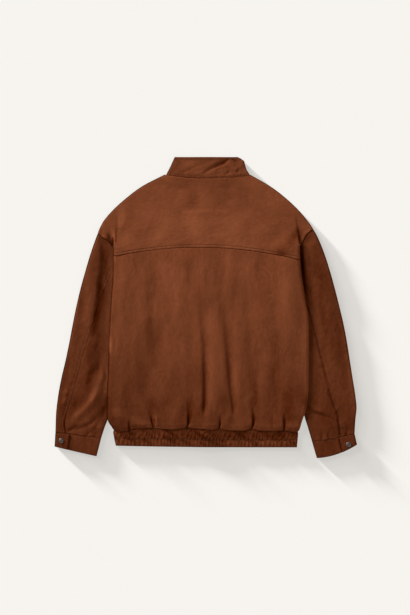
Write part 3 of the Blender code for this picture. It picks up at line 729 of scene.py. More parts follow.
# Lower edge of the puffs along the waistband: (x, how far it hangs below HEM_LEVEL).
Puff = namedtuple("Puff", "x drop")
PUFFS = [
    Puff(-232, -1.5), Puff(-219, 2.0), Puff(-206, 3.4), Puff(-194, -1.0), Puff(-182, -3.8),
    Puff(-160, -4.4), Puff(-136, -6.2), Puff(-122, -5.6), Puff(-90, -2.2), Puff(-66, -3.0),
    Puff(-54, -5.6), Puff(-30, -5.8), Puff(0, -2.0), Puff(22, -2.6), Puff(33, -5.0),
    Puff(52, -0.6), Puff(78, 1.2), Puff(100, 0.6), Puff(113, -4.6), Puff(130, 0.4),
    Puff(155, 1.9), Puff(178, 1.4), Puff(196, 0.2), Puff(212, 3.6), Puff(232, 6.0),
]
BACK_CREASES = creases(
    # Pleats that rise from the waistband, left to right.
    ((-189, -309, -190, -296, -189, -270), (-2.2, -1.4, 0), (2.6, 5)),
    ((-130, -306, -132, -290, -138, -262, -148, -232, -154, -206),
     (-3, -2.4, -1.3, -0.5, -0.1), (2.3, 3.8, 7, 11, 13), -0.3),
    ((-154, -206, -160, -150, -162, -96, -158, -40), (-0.1, -0.4, -0.2, 0), (13, 16), -0.3),
    ((-119, -296, -122, -282, -126, -266), (1, 1.6, 0), (5, 6)),
    ((-52, -309, -45, -297, -42, -280, -41, -258, -41, -216),
     (-3.2, -3.3, -2.7, -1.8, 0), (2.2, 2.7, 4.6, 9), -0.2),
    ((-5, -280, -2, -240, -1, -180, -2, -110, -7, -40, -14, 30),
     (0, -2.8, -2.8, -2, -1.2, 0), (5, 7.5, 10, 13), -0.3),
    ((31, -309, 35, -296, 37, -282, 38, -262), (-3, -3, -1.4, 0), (2.2, 2.7, 5)),
    ((72, -282, 68, -240, 61, -176, 56, -100, 49, -30, 44, 20),
     (0, -1.8, -2.3, -1.9, -1.1, 0), (5.5, 8, 11, 15), -0.4),
    ((110, -309, 117, -297, 120, -280, 120, -262, 117, -236),
     (-3.3, -3.4, -2.7, -1.5, -0.6), (2.2, 2.7, 4.6, 8), -0.2),
    ((119, -236, 117, -176, 110, -96, 104, -40), (-0.6, -1.3, -0.9, 0), (10, 16), -0.3),
    ((172, -306, 169, -282, 170, -256), (-1.4, -1.1, 0), (4.5, 8)),
    ((195, -310, 197, -290, 197, -258), (-2.6, -1.9, 0), (2.4, 4)),
    ((166, -130, 176, -190, 183, -240, 180, -282), (0, -1.2, -1, 0), (14, 11)),
    # Soft ridges and valleys that hang from the yoke.
    ((32, -300, 30, -220, 26, -100, 18, 30), (0, 2, 1.7, 0.4), (19, 20)),
    ((-24, -300, -24, -250, -26, -170), (0, 0.9, 0), (10, 15)),
    ((-92, -270, -80, -120, -86, 60, -88, 130), (0, 1.5, 1.1, 0.5), (28, 24)),
    ((92, -286, 86, -200, 78, -60, 70, 40), (0, 2, 1.2, 0), (15, 22)),
    ((148, -286, 142, -200, 138, -80), (0, 1.6, 0), (14, 20)),
    ((-136, 22, -137, -40, -134, -96), (-1, -1, -0.3), (12, 14)),
    ((-208, 120, -206, 60, -210, -10), (0.6, 0.9, 0), (12, 16)),
    ((206, 128, 208, 40, 204, -60, 206, -160), (0.4, 1.6, 1.2, 0), (18, 20)),
    ((176, 110, 170, 20, 166, -60, 160, -130), (-0.2, -1.1, -0.8, 0), (15, 18)),
    ((-36, -190, -34, -100, -46, 40), (0, -1.3, 0), (16, 20)),
    ((-70, -298, -72, -256, -78, -190), (0, 0.9, 0), (13, 16)),
    ((-164, -298, -168, -262, -176, -210), (0, 0.8, 0), (14, 18)),
    ((-214, -300, -214, -276, -216, -240), (0, 1.2, 0), (11, 14)),
    ((52, -300, 54, -276, 50, -250), (0, 1.3, 0), (9, 12)),
    # Pinch at the left side.
    ((-238, -66, -236, -92, -238, -116), (0.6, 2.4, 0.6), 4.5),
    ((-228, -66, -227, -92, -230, -116), (0, -1.2, 0), (4, 5)),
)
# Patches painted lighter or darker, with shades for rises: the nap's tone, painted shade along the
# left side fold and in the valleys, and painted light along the right side's edge and the hem.
BACK_TONE_AND_SHADE = creases(
    ((-229, 110, -231, 60, -236, -30, -243, -160, -246, -262),
     (-0.1, -0.16, -0.16, -0.16, -0.1), (6, 7)),
    ((246, 60, 252, 0, 256, -60, 258, -180, 252, -270), (0, 0.1, 0.1, 0.2, 0.1), 8),
    ((-164, 100, -158, 0, -154, -100, -160, -180), (0.06, 0.12, 0.12, 0.06), 18),
    ((-116, 30, -112, -34, -118, -80), (0, 0.1, 0), 18),
    ((26, 40, 24, -20, 30, -70), (0.06, 0.1, 0.06), (12, 14)),
    ((-52, -60, -48, -110, -52, -160), (0, 0.08, 0), 16),
    ((-180, -190, -176, -226, -186, -256), (0, 0.1, 0), 16),
    ((102, -190, 101, -230, 100, -260), (0, 0.1, 0), 8),
    ((170, 60, 168, -40, 170, -104, 176, -150), (-0.02, -0.04, -0.12, -0.04), (26, 28)),
    ((222, -170, 214, -226, 202, -290), (-0.06, -0.26, -0.14), 20),
    ((180, 130, 184, 112, 170, 80), (-0.1, -0.1, -0.02), 20),
    ((250, -250, 246, -272, 238, -292), (0.1, 0.3, 0.3), (8, 9)),
    ((-246, -200, -246, -236, -236, -276), (-0.06, -0.2, -0.08), (12, 14)),
    ((-136, -210, -132, -240, -128, -276), (0, -0.16, -0.04), 13),
    ((-88, -150, -90, -190, -94, -230), (0, -0.1, -0.06), 16),
    # Painted shade in the notches of the hem.
    ((-193, -312, -192, -296, -191, -270), (-0.46, -0.4, 0), (1.6, 2.2)),
    ((-128, -309, -133, -294, -138, -264), (-0.42, -0.34, 0), (1.4, 2.6)),
    ((-56, -304, -48, -300, -44.5, -288, -43, -262), (-0.5, -0.5, -0.4, 0), (1.4, 2.2)),
    ((30, -310, 35, -298, 37, -274), (-0.5, -0.44, 0), (1.4, 2.2)),
    ((106, -312, 115, -301, 119, -284, 119, -258), (-0.5, -0.5, -0.4, 0), (1.4, 2.2)),
    ((175, -310, 175, -296, 175, -276), (-0.16, -0.16, 0), (1.8, 2.4)),
    ((195, -312, 197, -292, 197, -262), (-0.46, -0.44, 0), (1.4, 2)),
    ((-86, 120, -82, 0, -84, -100), (0.07, 0.05, 0), (30, 26)),
    ((-166, 60, -160, 0, -164, -60), (0, 0.06, 0), 18),
    ((32, 130, 36, 60, 34, -20), (0.04, 0.08, 0.02), 22),
    ((34, -50, 36, -130, 38, -190, 40, -240), (0.04, 0.24, 0.24, -0.06), (10, 9)),
    ((196, 120, 204, 30, 206, -60), (0.04, 0.06, 0), (20, 22)),
    ((150, 120, 142, 40, 146, -40), (-0.04, -0.08, -0.02), (16, 20)),
    ((180, -80, 172, -150, 176, -220), (-0.04, -0.1, -0.04), (20, 22)),
    ((126, -110, 124, -170, 126, -280), (-0.04, -0.18, -0.16), (11, 10)),
    ((66, -20, 62, -60, 66, -110), (-0.02, -0.08, 0), 14),
    ((146, 70, 140, 20, 138, -50), (-0.04, -0.08, -0.02), 16),
    ((-36, -200, -34, -246, -30, -286), (0, -0.16, -0.1), (11, 12)),
    ((0, -200, -8, -244, -12, -286), (0, -0.16, -0.1), (11, 12)),
    ((-224, -260, -120, -300, 0, -299, 120, -304, 228, -296), (0.2, 0.18, 0.16, 0.12, 0.14), 10),
    ((-92, 118, -60, 112, -30, 116), (-0.06, -0.1, -0.02), 14),
)


# Width of a finger's mark, and how much longer than wide its arc is.
MARK_WIDTH = 1.5
MARK_STRETCH = 1.5


def finger_marks(middle, radii, start, end, shade):
    """Arcs that fingertips have brushed in the nap, dark and light by turns."""
    marks = []
    for k, radius in enumerate(radii):
        turns = np.radians(np.linspace(start, end, 5))
        arc = [
            (middle[0] + radius * np.cos(t), middle[1] + MARK_STRETCH * radius * np.sin(t))
            for t in turns
        ]
        marks.append(crease(arc, (0, shade * (-1) ** k, 0), MARK_WIDTH))
    return marks


BACK_TONE_AND_SHADE += spots(
    (-196, 138, 18, 10, 0.12), (55, 128, 16, 16, 0.12), (-239, -93, 5, 15, 0.34),
    (-151, -131, 10, 18, 0.1), (-50, -34, 11, 22, 0.1), (-106, -26, 11, 14, 0.06),
    (111, -220, 9, 18, 0.14), (-44, -294, 9, 6, 0.12), (-200, -298, 13, 7, 0.12),
    (5, -80, 10, 34, -0.1), (-20, 30, 10, 16, -0.12), (180, -120, 50, 90, -0.06),
    (248, -236, 7, 14, -0.1), (-220, -262, 14, 8, -0.14), (-160, -268, 20, 12, -0.06),
    (240, 100, 7, 20, -0.06), (-60, 130, 18, 10, -0.06), (14, -258, 12, 14, -0.08),
    (60, -120, 12, 60, -0.05), (-215, 0, 9, 34, 0.08), (-164, 56, 14, 20, 0.06),
    (-88, -94, 20, 34, 0.06), (41, -144, 8, 24, 0.06), (74, 106, 16, 12, 0.08),
    (171, -89, 18, 30, 0.08), (219, -214, 12, 20, 0.06), (249, -231, 6, 14, -0.08),
    (171, -299, 4, 4, 0.14), (84, -281, 10, 12, 0.12), (-131, -291, 4, 7, 0.16),
    (-194, -293, 9, 6, 0.12), (-40, -293, 12, 6, 0.1), (189, -290, 5, 12, 0.14),
    (-38, -104, 16, 46, 0.06), (-104, -12, 28, 50, 0.05), (-148, -128, 10, 24, 0.08),
    (-160, 76, 16, 44, 0.05), (64, 90, 20, 26, 0.06), (108, 24, 8, 18, 0.08),
    (222, -62, 8, 40, 0.06), (114, -218, 8, 34, 0.07), (44, -272, 6, 18, -0.1),
    (104, -50, 50, 60, -0.05),
)
BACK_TONE_AND_SHADE += finger_marks((-78, -16), (14, 18, 22, 26), 20, 130, -0.12)
BACK_TONE_AND_SHADE += finger_marks((138, 62), (12, 17, 22, 27, 32), -30, 120, -0.10)
BACK_TONE_AND_SHADE += finger_marks((164, 8), (10, 15, 20), 30, 160, -0.09)
BACK_TONE_AND_SHADE += finger_marks((-112, -184), (8, 12, 16), 40, 140, -0.10)


def puff_drop(x):
    """The scalloped lower edge of the hem, with round puffs and sharp notches between them."""
    xs = [puff.x for puff in PUFFS]
    drops = [puff.drop for puff in PUFFS]
    shifts = (-5, -2.5, 0, 2.5, 5)
    soft = sum(np.interp(x + shift, xs, drops) for shift in shifts) / len(shifts)
    return soft + 0.35 * np.sin(x / 2.9 + 1.6 * np.sin(x / 11)) + 0.3 * np.sin(x / 6.7)


def back_middle(x, y):
    seam = follow_seam(x)
    height = body_middle(x, y) + creased(BACK_CREASES, x, y)
    height = height + uneven(x, y, 34, 1.3, 3.2) * smooth((seam - y) / 40)
    height = height + uneven(x, y, 14, 0.3, 2.0) * smooth((seam - y) / 14)
    return height + pucker(x + 40, seam - y - 2, 6) - 1.5 * (1 - smooth((seam - y) / 3.5 + 0.2))


def under_middle(x, y):
    """Middle of the body's under layer: on the surface, or over the sleeve that lies beneath."""
    rise = ramp(np.abs(x) - each_side(tuck_edge, x, y), -32, -6) * ramp(y, -300, -280)
    return mix(FLOOR_MIDDLE, OVER_SLEEVE, rise)


def under_seam(side, y):
    """Where the turned-under edge of the back meets the front, or the sleeve above the armpit."""
    return np.where(y < SIDE_SEAM[side][0].y, follow(SIDE_SEAM[side], y), follow(ARMHOLE[side], y))


# Step between rows that all but meet, where a turned edge ends at the under layer.
HAIR = 0.05
# Middle height of the waistband's sewn edge, which the turned hem rests on.
HEM_REST = 3.5
# Steps round the turned hem, and how far back up it runs from there.
HEM_TURNS = np.linspace(0, 1, 9)[1:]
HEM_RETURN = (1.5, 3.2, 5.2)

top_level = YOKE_ROWS[0].left
level = spaced(150, HEM_LEVEL, top_level, (HEM_LEVEL, top_level), 26, 2.6)[:, None]
level_right = mix(level, level - 8.0, ramp(level, -60, 130))
bow = YOKE_ROWS[0].bow * (np.clip(level + 180, 0, None) / 310) ** 1.6
back_sides = []
for side, here in (("left", level), ("right", level_right)):
    below = np.maximum(here, HEM_UNDER)
    back_sides.append(turned_under(side, here, below, under_seam(side, below) + SEAM_GAP / 2,
                                   SIDE_REACH, under_middle, back_middle))
# The columns of the grid close up at the pleats.
PLEATS = (-189, -131, -48, -5, 35, 62, 116, 170, 196)
TOP_HALF = 225.0
back_columns = spaced(205, -0.975, 0.975, [x / TOP_HALF for x in PLEATS], 0.045, 1.3)
back_rows = body_rows(*back_sides, bow, back_columns, back_middle)

# The hem hangs in puffs, then turns in and back up over the waistband.
fold_share = 1 - ramp(back_rows[..., 1], HEM_LEVEL, HEM_LEVEL + 26)
side_columns = len(UNDER_SHARES) + len(ROLL_TURNS)
on_top = np.zeros(back_rows.shape[1])
on_top[side_columns:-side_columns] = 1
onto_top = smooth((np.arange(len(ROLL_TURNS)) + 1) / len(ROLL_TURNS))
on_top[len(UNDER_SHARES):side_columns] = onto_top
on_top[-side_columns:-len(UNDER_SHARES)] = onto_top[::-1]
back_rows[..., 1] -= fold_share * on_top * puff_drop(back_rows[..., 0])
lip = back_rows[0]
hem_return = HEM_REST + over_lap(lip[:, 0]) + WALL + 0.2
notch = np.clip(0.4 * creased(BACK_CREASES, lip[:, 0], lip[:, 1]), -1.1, 0.4)
lip[:, 2] = mix(lip[:, 2], hem_return + 1.1 * WALL + notch, on_top)
radius = (lip[:, 2] - hem_return) / 2
turned_hem = []
for k, turn in enumerate(HEM_TURNS):
    angle = np.pi * turn
    inwards, down = radius * np.sin(angle), radius * (1 - np.cos(angle))
    turned_hem.append(lip + points(0, mix(-HAIR * (k + 1), -inwards, on_top), -down * on_top))
for k, length in enumerate(HEM_RETURN):
    turned_hem.append(turned_hem[len(HEM_TURNS) - 1] + points(0, mix(-HAIR * k, length, on_top), 0))
under_welt = [
    back_rows[-1] + points(0, mix(HAIR * k, 2.5 * k, on_top), -0.5 * k * on_top) for k in (1, 2)
]
back_rows = np.concatenate([turned_hem[::-1], back_rows, under_welt])
back_suede = suede("back_suede", (0.20, 0.47, 0.50))
back = cloth("back_shell", back_rows, back_suede, BACK_CREASES, BACK_TONE_AND_SHADE)
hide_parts("back")

# Fronts -----------------------------------------------------------------------------------------
# The two fronts lie flat on the surface. The left one laps over the right one at the middle,
# nearest the surface, held by a row of press studs, and each has a turned and stitched edge.

# Half the width of the lap, the run in which its step fades, and the step.
LAP_HALF = 16.0
LAP_FADE = 20.0
LAP_STEP = WALL + 0.5
# How far the studs lift the lap, and how far in from its edge the topstitching runs.
STUD_LIFT = 2.1
FRONT_STITCH = 5.5
# Outer edge of the fronts along the shoulder, and the heights of their lower and upper ends.
FRONT_SHOULDER = {
    "left": [At(332, 72.5), At(302, 126.5), At(272, 168.5), At(242, 202.5), At(212, 227),
             At(190, 259)],
    "right": [At(332, 80.5), At(302, 131.5), At(272, 172.5), At(242, 204.5), At(212, 227),
              At(197, 262)],
}
FRONT_SOLE = -301.6
FRONT_TOP = 332.0
# Where the cloth lifts a little off the surface, as creases of the underside.
FRONT_CREASES = {
    "left": creases(
        ((-62, -300, -66, -276, -70, -240, -62, -180), (0.5, 2.4, 1.2, 0), (5, 12), 0.2),
        ((-88, -300, -86, -284, -90, -262), (0.4, 1.8, 0), (4, 6)),
        ((-108, -300, -102, -274, -106, -222), (0.5, 2.6, 0), (5, 10), -0.2),
        ((-150, -299, -158, -268, -152, -210, -160, -130), (0.5, 2.5, 1, 0), (6, 15), 0.2),
        ((-174, -299, -172, -282, -176, -258), (0.4, 1.9, 0), (4, 6)),
        ((-204, -298, -200, -276, -204, -240), (0.4, 2, 0), (5, 8)),
        ((-90, 40, -120, -10, -150, -40), (0.8, 1.9, 0.4), (14, 9)),
        ((-96, 4, -120, -40, -142, -96), (0.2, 1.4, 0), (12, 10), 0.2),
        ((-70, 150, -82, 60, -76, -40), (0.9, 1.2, 0.3), (16, 18)),
        ((-96, 236, -130, 196, -158, 152), (0.2, 1.5, 0.2), 13, 0.2),
    ),
    "right": creases(
        ((50, -300, 56, -274, 52, -220), (0.5, 2.5, 0), (5, 10), -0.2),
        ((80, -300, 82, -284, 78, -264), (0.4, 1.8, 0), (4, 6)),
        ((98, -300, 90, -260, 96, -170, 90, -90), (0.5, 2.4, 1, 0), (6, 14), 0.2),
        ((134, -299, 140, -276, 136, -236), (0.5, 2.6, 0), (5, 9), 0.2),
        ((158, -299, 156, -284, 160, -266), (0.4, 1.8, 0), (4, 6)),
        ((184, -298, 180, -268, 186, -226), (0.4, 2.1, 0), (5, 9)),
        ((104, 30, 132, -14, 160, -48), (0.8, 1.8, 0.4), (14, 9)),
        ((96, -30, 120, -74, 138, -124), (0.2, 1.4, 0), (12, 10)),
        ((76, 170, 84, 90, 74, 10), (0.9, 1.1, 0.3), (16, 18)),
        ((104, 240, 134, 202, 160, 160), (0.2, 1.5, 0.2), 13, -0.2),
    ),
}


def lap(distance):
    """1 on the front's lap, falling to 0 beyond it."""
    return 1 - smooth((distance - LAP_HALF - 2) / LAP_FADE)


def front_middle(side, x, y):
    armpit = ramp(y, 15, -25)
    middle = mix(FLOOR_MIDDLE, under_middle(x, y), armpit)
    fastened = ramp(y, -298, -286) * ramp(y, 318, 306)
    middle = middle + STUD_LIFT * fastened * lap(np.abs(x))
    open_cloth = 1 - lap(np.abs(x))
    middle = middle + creased(FRONT_CREASES[side], x, y) * open_cloth
    if side == "right":
        middle = middle + LAP_STEP * lap(x)
    return middle


def front_edge(side, y):
    """The front's outer edge: shoulder seam, armhole seam or side seam."""
    shoulder = FRONT_SHOULDER[side]
    low = np.minimum(under_seam(side, y), shoulder[-1].x + 4) - SEAM_GAP / 2
    return np.where(y >= shoulder[-1].y, follow(shoulder, y), low)


front_suede = suede("front_suede", (0.3, 0.46, 0.5))
fronts = {}
for side, sign in SIGN.items():
    y = spaced(118, FRONT_SOLE, FRONT_TOP, (FRONT_SOLE, -25, 150, 200), 24, 1.4)[:, None]
    share = spaced(84, 0, 1, (0.0, 0.16, 1.0), 0.09, 1.6)
    x = sign * mix(-LAP_HALF, front_edge(side, y), share)
    to_neck = (neck_y(x) - SEAM_GAP / 2 - FRONT_TOP) * ramp(y, 290, FRONT_TOP)
    rows = points(x, y + to_neck, front_middle(side, x, y + to_neck))
    fronts[side] = cloth(f"front_{side}_shell", rows, front_suede, FRONT_CREASES[side])
    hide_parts(f"front_{side}")
y = np.linspace(-294, 320, 40)
stitches = sew("front_edge_topstitching", fronts["left"], LAP_HALF - FRONT_STITCH, y, True)

# Collar -----------------------------------------------------------------------------------------
# The stand collar is one strip of doubled suede sewn round the neck. It lies pressed flat, with
# its ends lapped at the front, and has creased where its layers were pushed over.

COLLAR_MIDDLE = 7.0
COLLAR_TOP = 376.0
# How far in the rolls at the collar's ends begin.
COLLAR_REACH = 2.9
# Share of the wall that is left at a folded edge.
FOLDED = 0.9
# How far the collar reaches to each side, at this share of its height.
CollarRow = namedtuple("CollarRow", "share left right")
COLLAR_ROWS = [
    CollarRow(0.0, 98.5, 110.5), CollarRow(0.3, 92, 103), CollarRow(0.55, 86.5, 99.5),
    CollarRow(0.78, 82, 97), CollarRow(0.92, 79, 88.5), CollarRow(1.0, 77, 80),
]
COLLAR_CREASES = creases(
    ((-2, 336, 12, 345, 30, 354, 42.5, 360, 57, 369),
     (-0.5, -1.2, -1.6, -1.7, -1.3), (3, 2.8), 0.2),
    ((8, 332, 28, 344, 50, 354, 66, 362), (0.2, 0.6, 0.6, 0.2), (5, 4)),
    ((-10, 346, 16, 359, 34, 368), (0.2, 0.5, 0.4), (5, 4.5)),
    ((-53, 338, -34, 347, -14, 355), (-0.6, -0.7, -0.2), (4, 5)),
    ((-36, 340, -18, 343, -1, 346), (-0.2, -0.5, -0.1), (3.2, 4)),
    ((22, 340, 34, 346, 46, 350), (-0.2, -0.8, -0.1), (2.6, 3)),
    ((52, 333, 58, 338, 61, 345), (-0.5, -0.9, -0.2), (3.2, 4)),
    ((78, 336, 82, 341, 86, 348), (-0.3, -0.9, -0.3), (3.6, 4)),
    ((66, 372, 74, 365, 78, 358), (-0.4, -0.9, -0.2), (3.6, 4)),
    ((-72, 366, -62, 358, -54, 350), (-0.2, -0.7, -0.1), (4, 5)),
    ((88, 350, 92, 362), (0.5, 0.3), 5),
    ((68, 350, 74, 346, 80, 350), (0.2, 0.6, 0.2), 4),
)
# Patches painted lighter or darker, with shades for rises: the nap's tone, and painted shade in
# the creases and along the top edge and the neck seam.
COLLAR_TONE_AND_SHADE = creases(
    ((-60, 366, -42, 360, -14, 352), (0.1, 0.16, 0.05), 10),
    ((20, 352, 42, 362, 54, 370), (-0.06, -0.14, -0.1), (7, 6)),
    ((66, 370, 76, 366), (-0.14, -0.1), 6),
    ((30, 358, 46, 362, 58, 362), (-0.06, -0.14, -0.06), 8),
    ((56, 336, 62, 342, 58, 350), (-0.12, -0.1, 0), 6),
    ((-80, 372, 0, 373, 84, 372), (-0.1, -0.12, -0.1), 3.5),
    ((-90, 330, 0, 324, 90, 331), (-0.16, -0.24, -0.16), 2.6),
    *spots((-44, 361, 12, 7, 0.08), (98, 344, 7, 9, 0.12)),
)
COLLAR_STITCH = 5.0
# How a sewn end goes in under the next piece: how far on, and what share of the way down.
TUCK_STEPS = ((1.0, 0.55), (1.8, 1.0), (4.5, 1.0))


def tucked(rows, end, level):
    """The rows, carried on past one end (0 or -1) to go down to this level, in under the next
    piece. What already lies near the surface stays."""
    edge, before = rows[end], rows[1 if end == 0 else -2]
    onward = (edge - before)[:, :2]
    onward = onward / np.linalg.norm(onward, axis=1, keepdims=True)
    share = smooth((edge[:, 2] - level + 0.8) / 1.6)
    added = []
    for k, (run, drop) in enumerate(TUCK_STEPS):
        run = mix(HAIR * (k + 1), run, share)
        z = mix(edge[:, 2], np.minimum(level, edge[:, 2]), drop * share)
        added.append(points(edge[:, 0] + onward[:, 0] * run, edge[:, 1] + onward[:, 1] * run, z))
    return np.concatenate([added[::-1], rows] if end == 0 else [rows, added])


def lapped_ring(left, right, y_top, y_under, high, reach, shares, under_columns=40, lift=None):
    """Rows of a flattened ring, from its outer lapped end, over the top, to its inner one. The
    arguments are columns or rules of x, shares are places along the top, and lift is how far the
    under layer rises off the surface."""
    def flat(x, inner):
        height = FLOOR_MIDDLE + (LAP_STEP * lap(x) if inner else 0.0)
        return points(x, y_under(x), height if lift is None else height + lift(x))

    steps = np.linspace(0, 1, under_columns)
    left_start, right_start = left + WALL / 2 + reach, right - WALL / 2 - reach
    strips = [flat(mix(LAP_HALF, left_start + 6, steps), False)]
    turns = ROLL_TURNS[::-1]
    x, z = roll(left, -1, reach, high(left_start), FLOOR_MIDDLE, turns)
    strips.append(points(x, mix(y_top(x), y_under(x), turns), z))
    x = mix(left_start, right_start, shares)
    strips.append(points(x, y_top(x), high(x)))
    x, z = roll(right, 1, reach, high(right_start), FLOOR_MIDDLE, ROLL_TURNS)
    strips.append(points(x, mix(y_top(x), y_under(x), ROLL_TURNS), z))
    strips.append(flat(mix(right_start - 6, -LAP_HALF, steps), True))
    return np.concatenate(strips, axis=1)


def collar_top(x, y):
    seam = y - neck_y(x)
    left_half = 1 - ramp(x, -20, 10)
    height = COLLAR_MIDDLE + 0.3 * over_lap(x) + creased(COLLAR_CREASES, x, y)
    height = height + uneven(x, y, 26, 0.6) + uneven(x, y, 9, 0.15)
    return height - 0.45 * bell(seam - COLLAR_STITCH, 1.1) * left_half + pucker(x, seam - 3, 4)


share = spaced(26, 0, 1, (0, 1), 0.2, 0.6)[:, None]
left, right = (
    np.interp(share, [row.share for row in COLLAR_ROWS], [getattr(row, key) for row in COLLAR_ROWS])
    for key in ("left", "right")
)


def collar_y(x):
    return mix(neck_y(x) + SEAM_GAP / 2, COLLAR_TOP, share)


collar_rows = lapped_ring(
    -left, right, collar_y, collar_y, lambda x: collar_top(x, collar_y(x)), COLLAR_REACH,
    np.linspace(0, 1, 92)[1:-1],
)
collar_suede = suede("collar_suede", (0.41, 0.41, 0.41), 0.9)
collar = cloth("collar_shell", tucked(collar_rows, 0, COLLAR_MIDDLE - 2.2), collar_suede,
               COLLAR_CREASES, COLLAR_TONE_AND_SHADE, rim=FOLDED)
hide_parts("collar")
x = np.linspace(-90, 100, 40)
stitches = [sew("collar_neck_topstitching", collar, x, neck_y(x) + COLLAR_STITCH)]
x = np.linspace(-74, 76, 40)
# Which face of a piece a row of stitches is on, and whether that is the under one.
FACES = {"outer": False, "inner": True}
for face, from_below in FACES.items():
    stitches.append(sew(f"collar_edge_topstitching_{face}", collar, x, COLLAR_TOP - COLLAR_STITCH,
                        from_below))

# Waistband --------------------------------------------------------------------------------------
# The waistband is one long strip of suede, doubled over a wide elastic with a line of stitching
# along its middle. The elastic draws it into short ruched ribs in two channels.

# How far in the rolls at the band's ends begin.
BAND_REACH = 1.7
# How much lower the band's sewn edge lies than its crown.
BAND_SUNK = 2.2
# A row of the waistband: its height on the top and under layers, how much of the foot's drop
# and of the hem's scallops it follows, its two edges, its share of the ribs and of the sinking.
BandRow = namedtuple("BandRow", "top under foot scallop left right ribs sunk")
BAND_ROWS = [
    BandRow(-294.5, -302.8, 0, 1, 227.0, 228.5, 0.1, 1.0),
    BandRow(-300.8, -303.4, 0, 1, 228.6, 230, 0.3, 1.0),
    BandRow(-306, -307, 0.1, 1, 229.5, 231, 0.7, 0.75),
    BandRow(-313, -313, 0.2, 0.7, 231, 232, 1.0, 0.15),
    BandRow(-324, -324, 0.5, 0.1, 229, 231, 1.0, 0.0),
    BandRow(-330, -330, 0.6, 0, 228, 230.5, 1.0, 0.1),
    BandRow(-338, -338, 0.8, 0, 226, 229.5, 1.0, 0.15),
    BandRow(-345.5, -345.5, 1, 0, 224.5, 229, 0.5, 0.55),
]
BAND_FOOT_DROP = 4.2
# Height of the stitching above the foot.
BAND_STITCH = 18.5
RIB_PITCH = 8.9
RIB_DEPTH = 1.0
BAND_CROWN = 5.7
BAND_COLUMNS = 470
BAND_UNDER_COLUMNS = 130
# How far the under layer's ribs are shifted from the upper layer's.
UNDER_RIB_SHIFT = 61


def band_foot(share, left, right, x):
    """How far the band dips at x: fast at the left, then nearly level."""
    return share * BAND_FOOT_DROP * (1 - ((right - x) / (left + right)) ** 3)


def ribs(x, y, sole):
    """Uneven ruching: upright in the lower channel, slanting in the upper one."""
    above = y - sole - BAND_STITCH
    upper = smooth(above / 4 + 0.5)
    lean = 0.3 + 0.3 * np.sin(x / 31 + 0.6) + 0.25 * np.sin(x / 9)
    slant = x - lean * np.clip(above, 0, None)
    drift = 2.6 * np.sin(slant / 19.0) + 1.5 * np.sin(slant / 7.1 + 1) + 3.0 * np.sin(slant / 57)
    phase = 2 * np.pi * (slant + drift + upper * 3.5) / mix(RIB_PITCH, 1.12 * RIB_PITCH, upper)
    strength = 0.62 + 0.28 * np.sin(x / 15 + 2 * upper) + 0.3 * np.sin(x / 5.3 + above / 3)
    wave = np.cos(phase + 0.6 * np.sin(phase)) + uneven(slant, y, 6.5, 1.1, 1.6)
    return RIB_DEPTH * strength * mix(0.85, 0.8, upper) * wave - 0.5 * bell(above, 1.4)


band = between(BAND_ROWS, np.linspace(0, len(BAND_ROWS) - 1, 34))


def band_line(key):
    return lambda x: band[key] - band_foot(band["foot"], band["left"], band["right"], x)


def band_top_line(x):
    return band_line("top")(x) - band["scallop"] * puff_drop(x)


def band_top(x):
    sole = BAND_ROWS[-1].top - band_foot(1, band["left"], band["right"], x)
    y = band_top_line(x)
    height = BAND_CROWN + over_lap(x) + band["ribs"] * ribs(x, y, sole)
    height = height - BAND_SUNK * band["sunk"]
    return height + uneven(x, y + 0 * x, 30, 0.5)


def band_lift(x):
    """Ribs of the under layer, which touch the surface, and die away at the lapped ends."""
    sole = BAND_ROWS[-1].under - band_foot(1, band["left"], band["right"], x)
    wave = ribs(x + UNDER_RIB_SHIFT, band_line("under")(x), sole)
    from_ends = ramp(band["left"] - np.abs(x), 4, 16) * (1 - lap(np.abs(x)))
    return band["ribs"] * 0.55 * np.clip(1 + wave, 0, 2.2) * from_ends


band_rows = lapped_ring(
    -band["left"], band["right"], band_top_line, band_line("under"), band_top, BAND_REACH,
    np.linspace(0, 1, BAND_COLUMNS)[1:-1], BAND_UNDER_COLUMNS, band_lift,
)
band_suede = suede("band_suede", (0.30, 0.24, 0.24))
# Painted shade over the upper channel, under the hem, in the ditch of the stitching and on the
# lower roll; the lower channel a little lighter at its left end, and a few spots lighter or darker.
BAND_TONE_AND_SHADE = creases(
    ((-232, -318, 0, -316, 232, -316), (-0.04, -0.12, -0.18), 11),
    ((-228, -341, 0, -343, 232, -343), (0.08, 0.02, -0.04), 7),
    ((-226, -325, 0, -325, 232, -325), (-0.02, -0.08, -0.12), 7),
    ((-226, -327, -150, -329.2, 0, -330.7, 228, -331.2), (-0.06, -0.08, -0.1, -0.1), (2, 2.2)),
    ((-224, -345.5, -112, -348.2, 0, -349, 228, -349.8), (-0.3, -0.3), 1.8),
    *spots((62, -322, 14, 6, -0.12), (160, -322, 16, 6, -0.12), (-94, -316, 9, 6, 0.14)),
)
waistband = cloth("waistband_shell", band_rows, band_suede, tone_and_shade=BAND_TONE_AND_SHADE, rim=FOLDED)
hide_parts("waistband")
x = np.linspace(-225, 226, 90)
foot = BAND_ROWS[-1]
sole = foot.top - band_foot(1, foot.left, foot.right, x)
stitches = [
    sew(f"waistband_topstitching_{face}", waistband, x, sole + BAND_STITCH, from_below)
    for face, from_below in FACES.items()
]

# Sleeves ----------------------------------------------------------------------------------------
# Each sleeve is an upper and an under piece, sewn with a lapped, stitched seam down the back of
# the arm into the vent of the cuff. They lie flat, with their inner folds under the body.

# Middle heights of the upper layer: under the body, clear of it, and at the cuff.
SLEEVE_UNDER_BODY = 4.7
SLEEVE_CROWN = 7.2
CUFF_CROWN = 5.5
# How far in the rolls at the sides begin, and the share of the width where the hidden seam runs.
TUBE_REACH = 3.2
UNDER_SEAM = 0.45
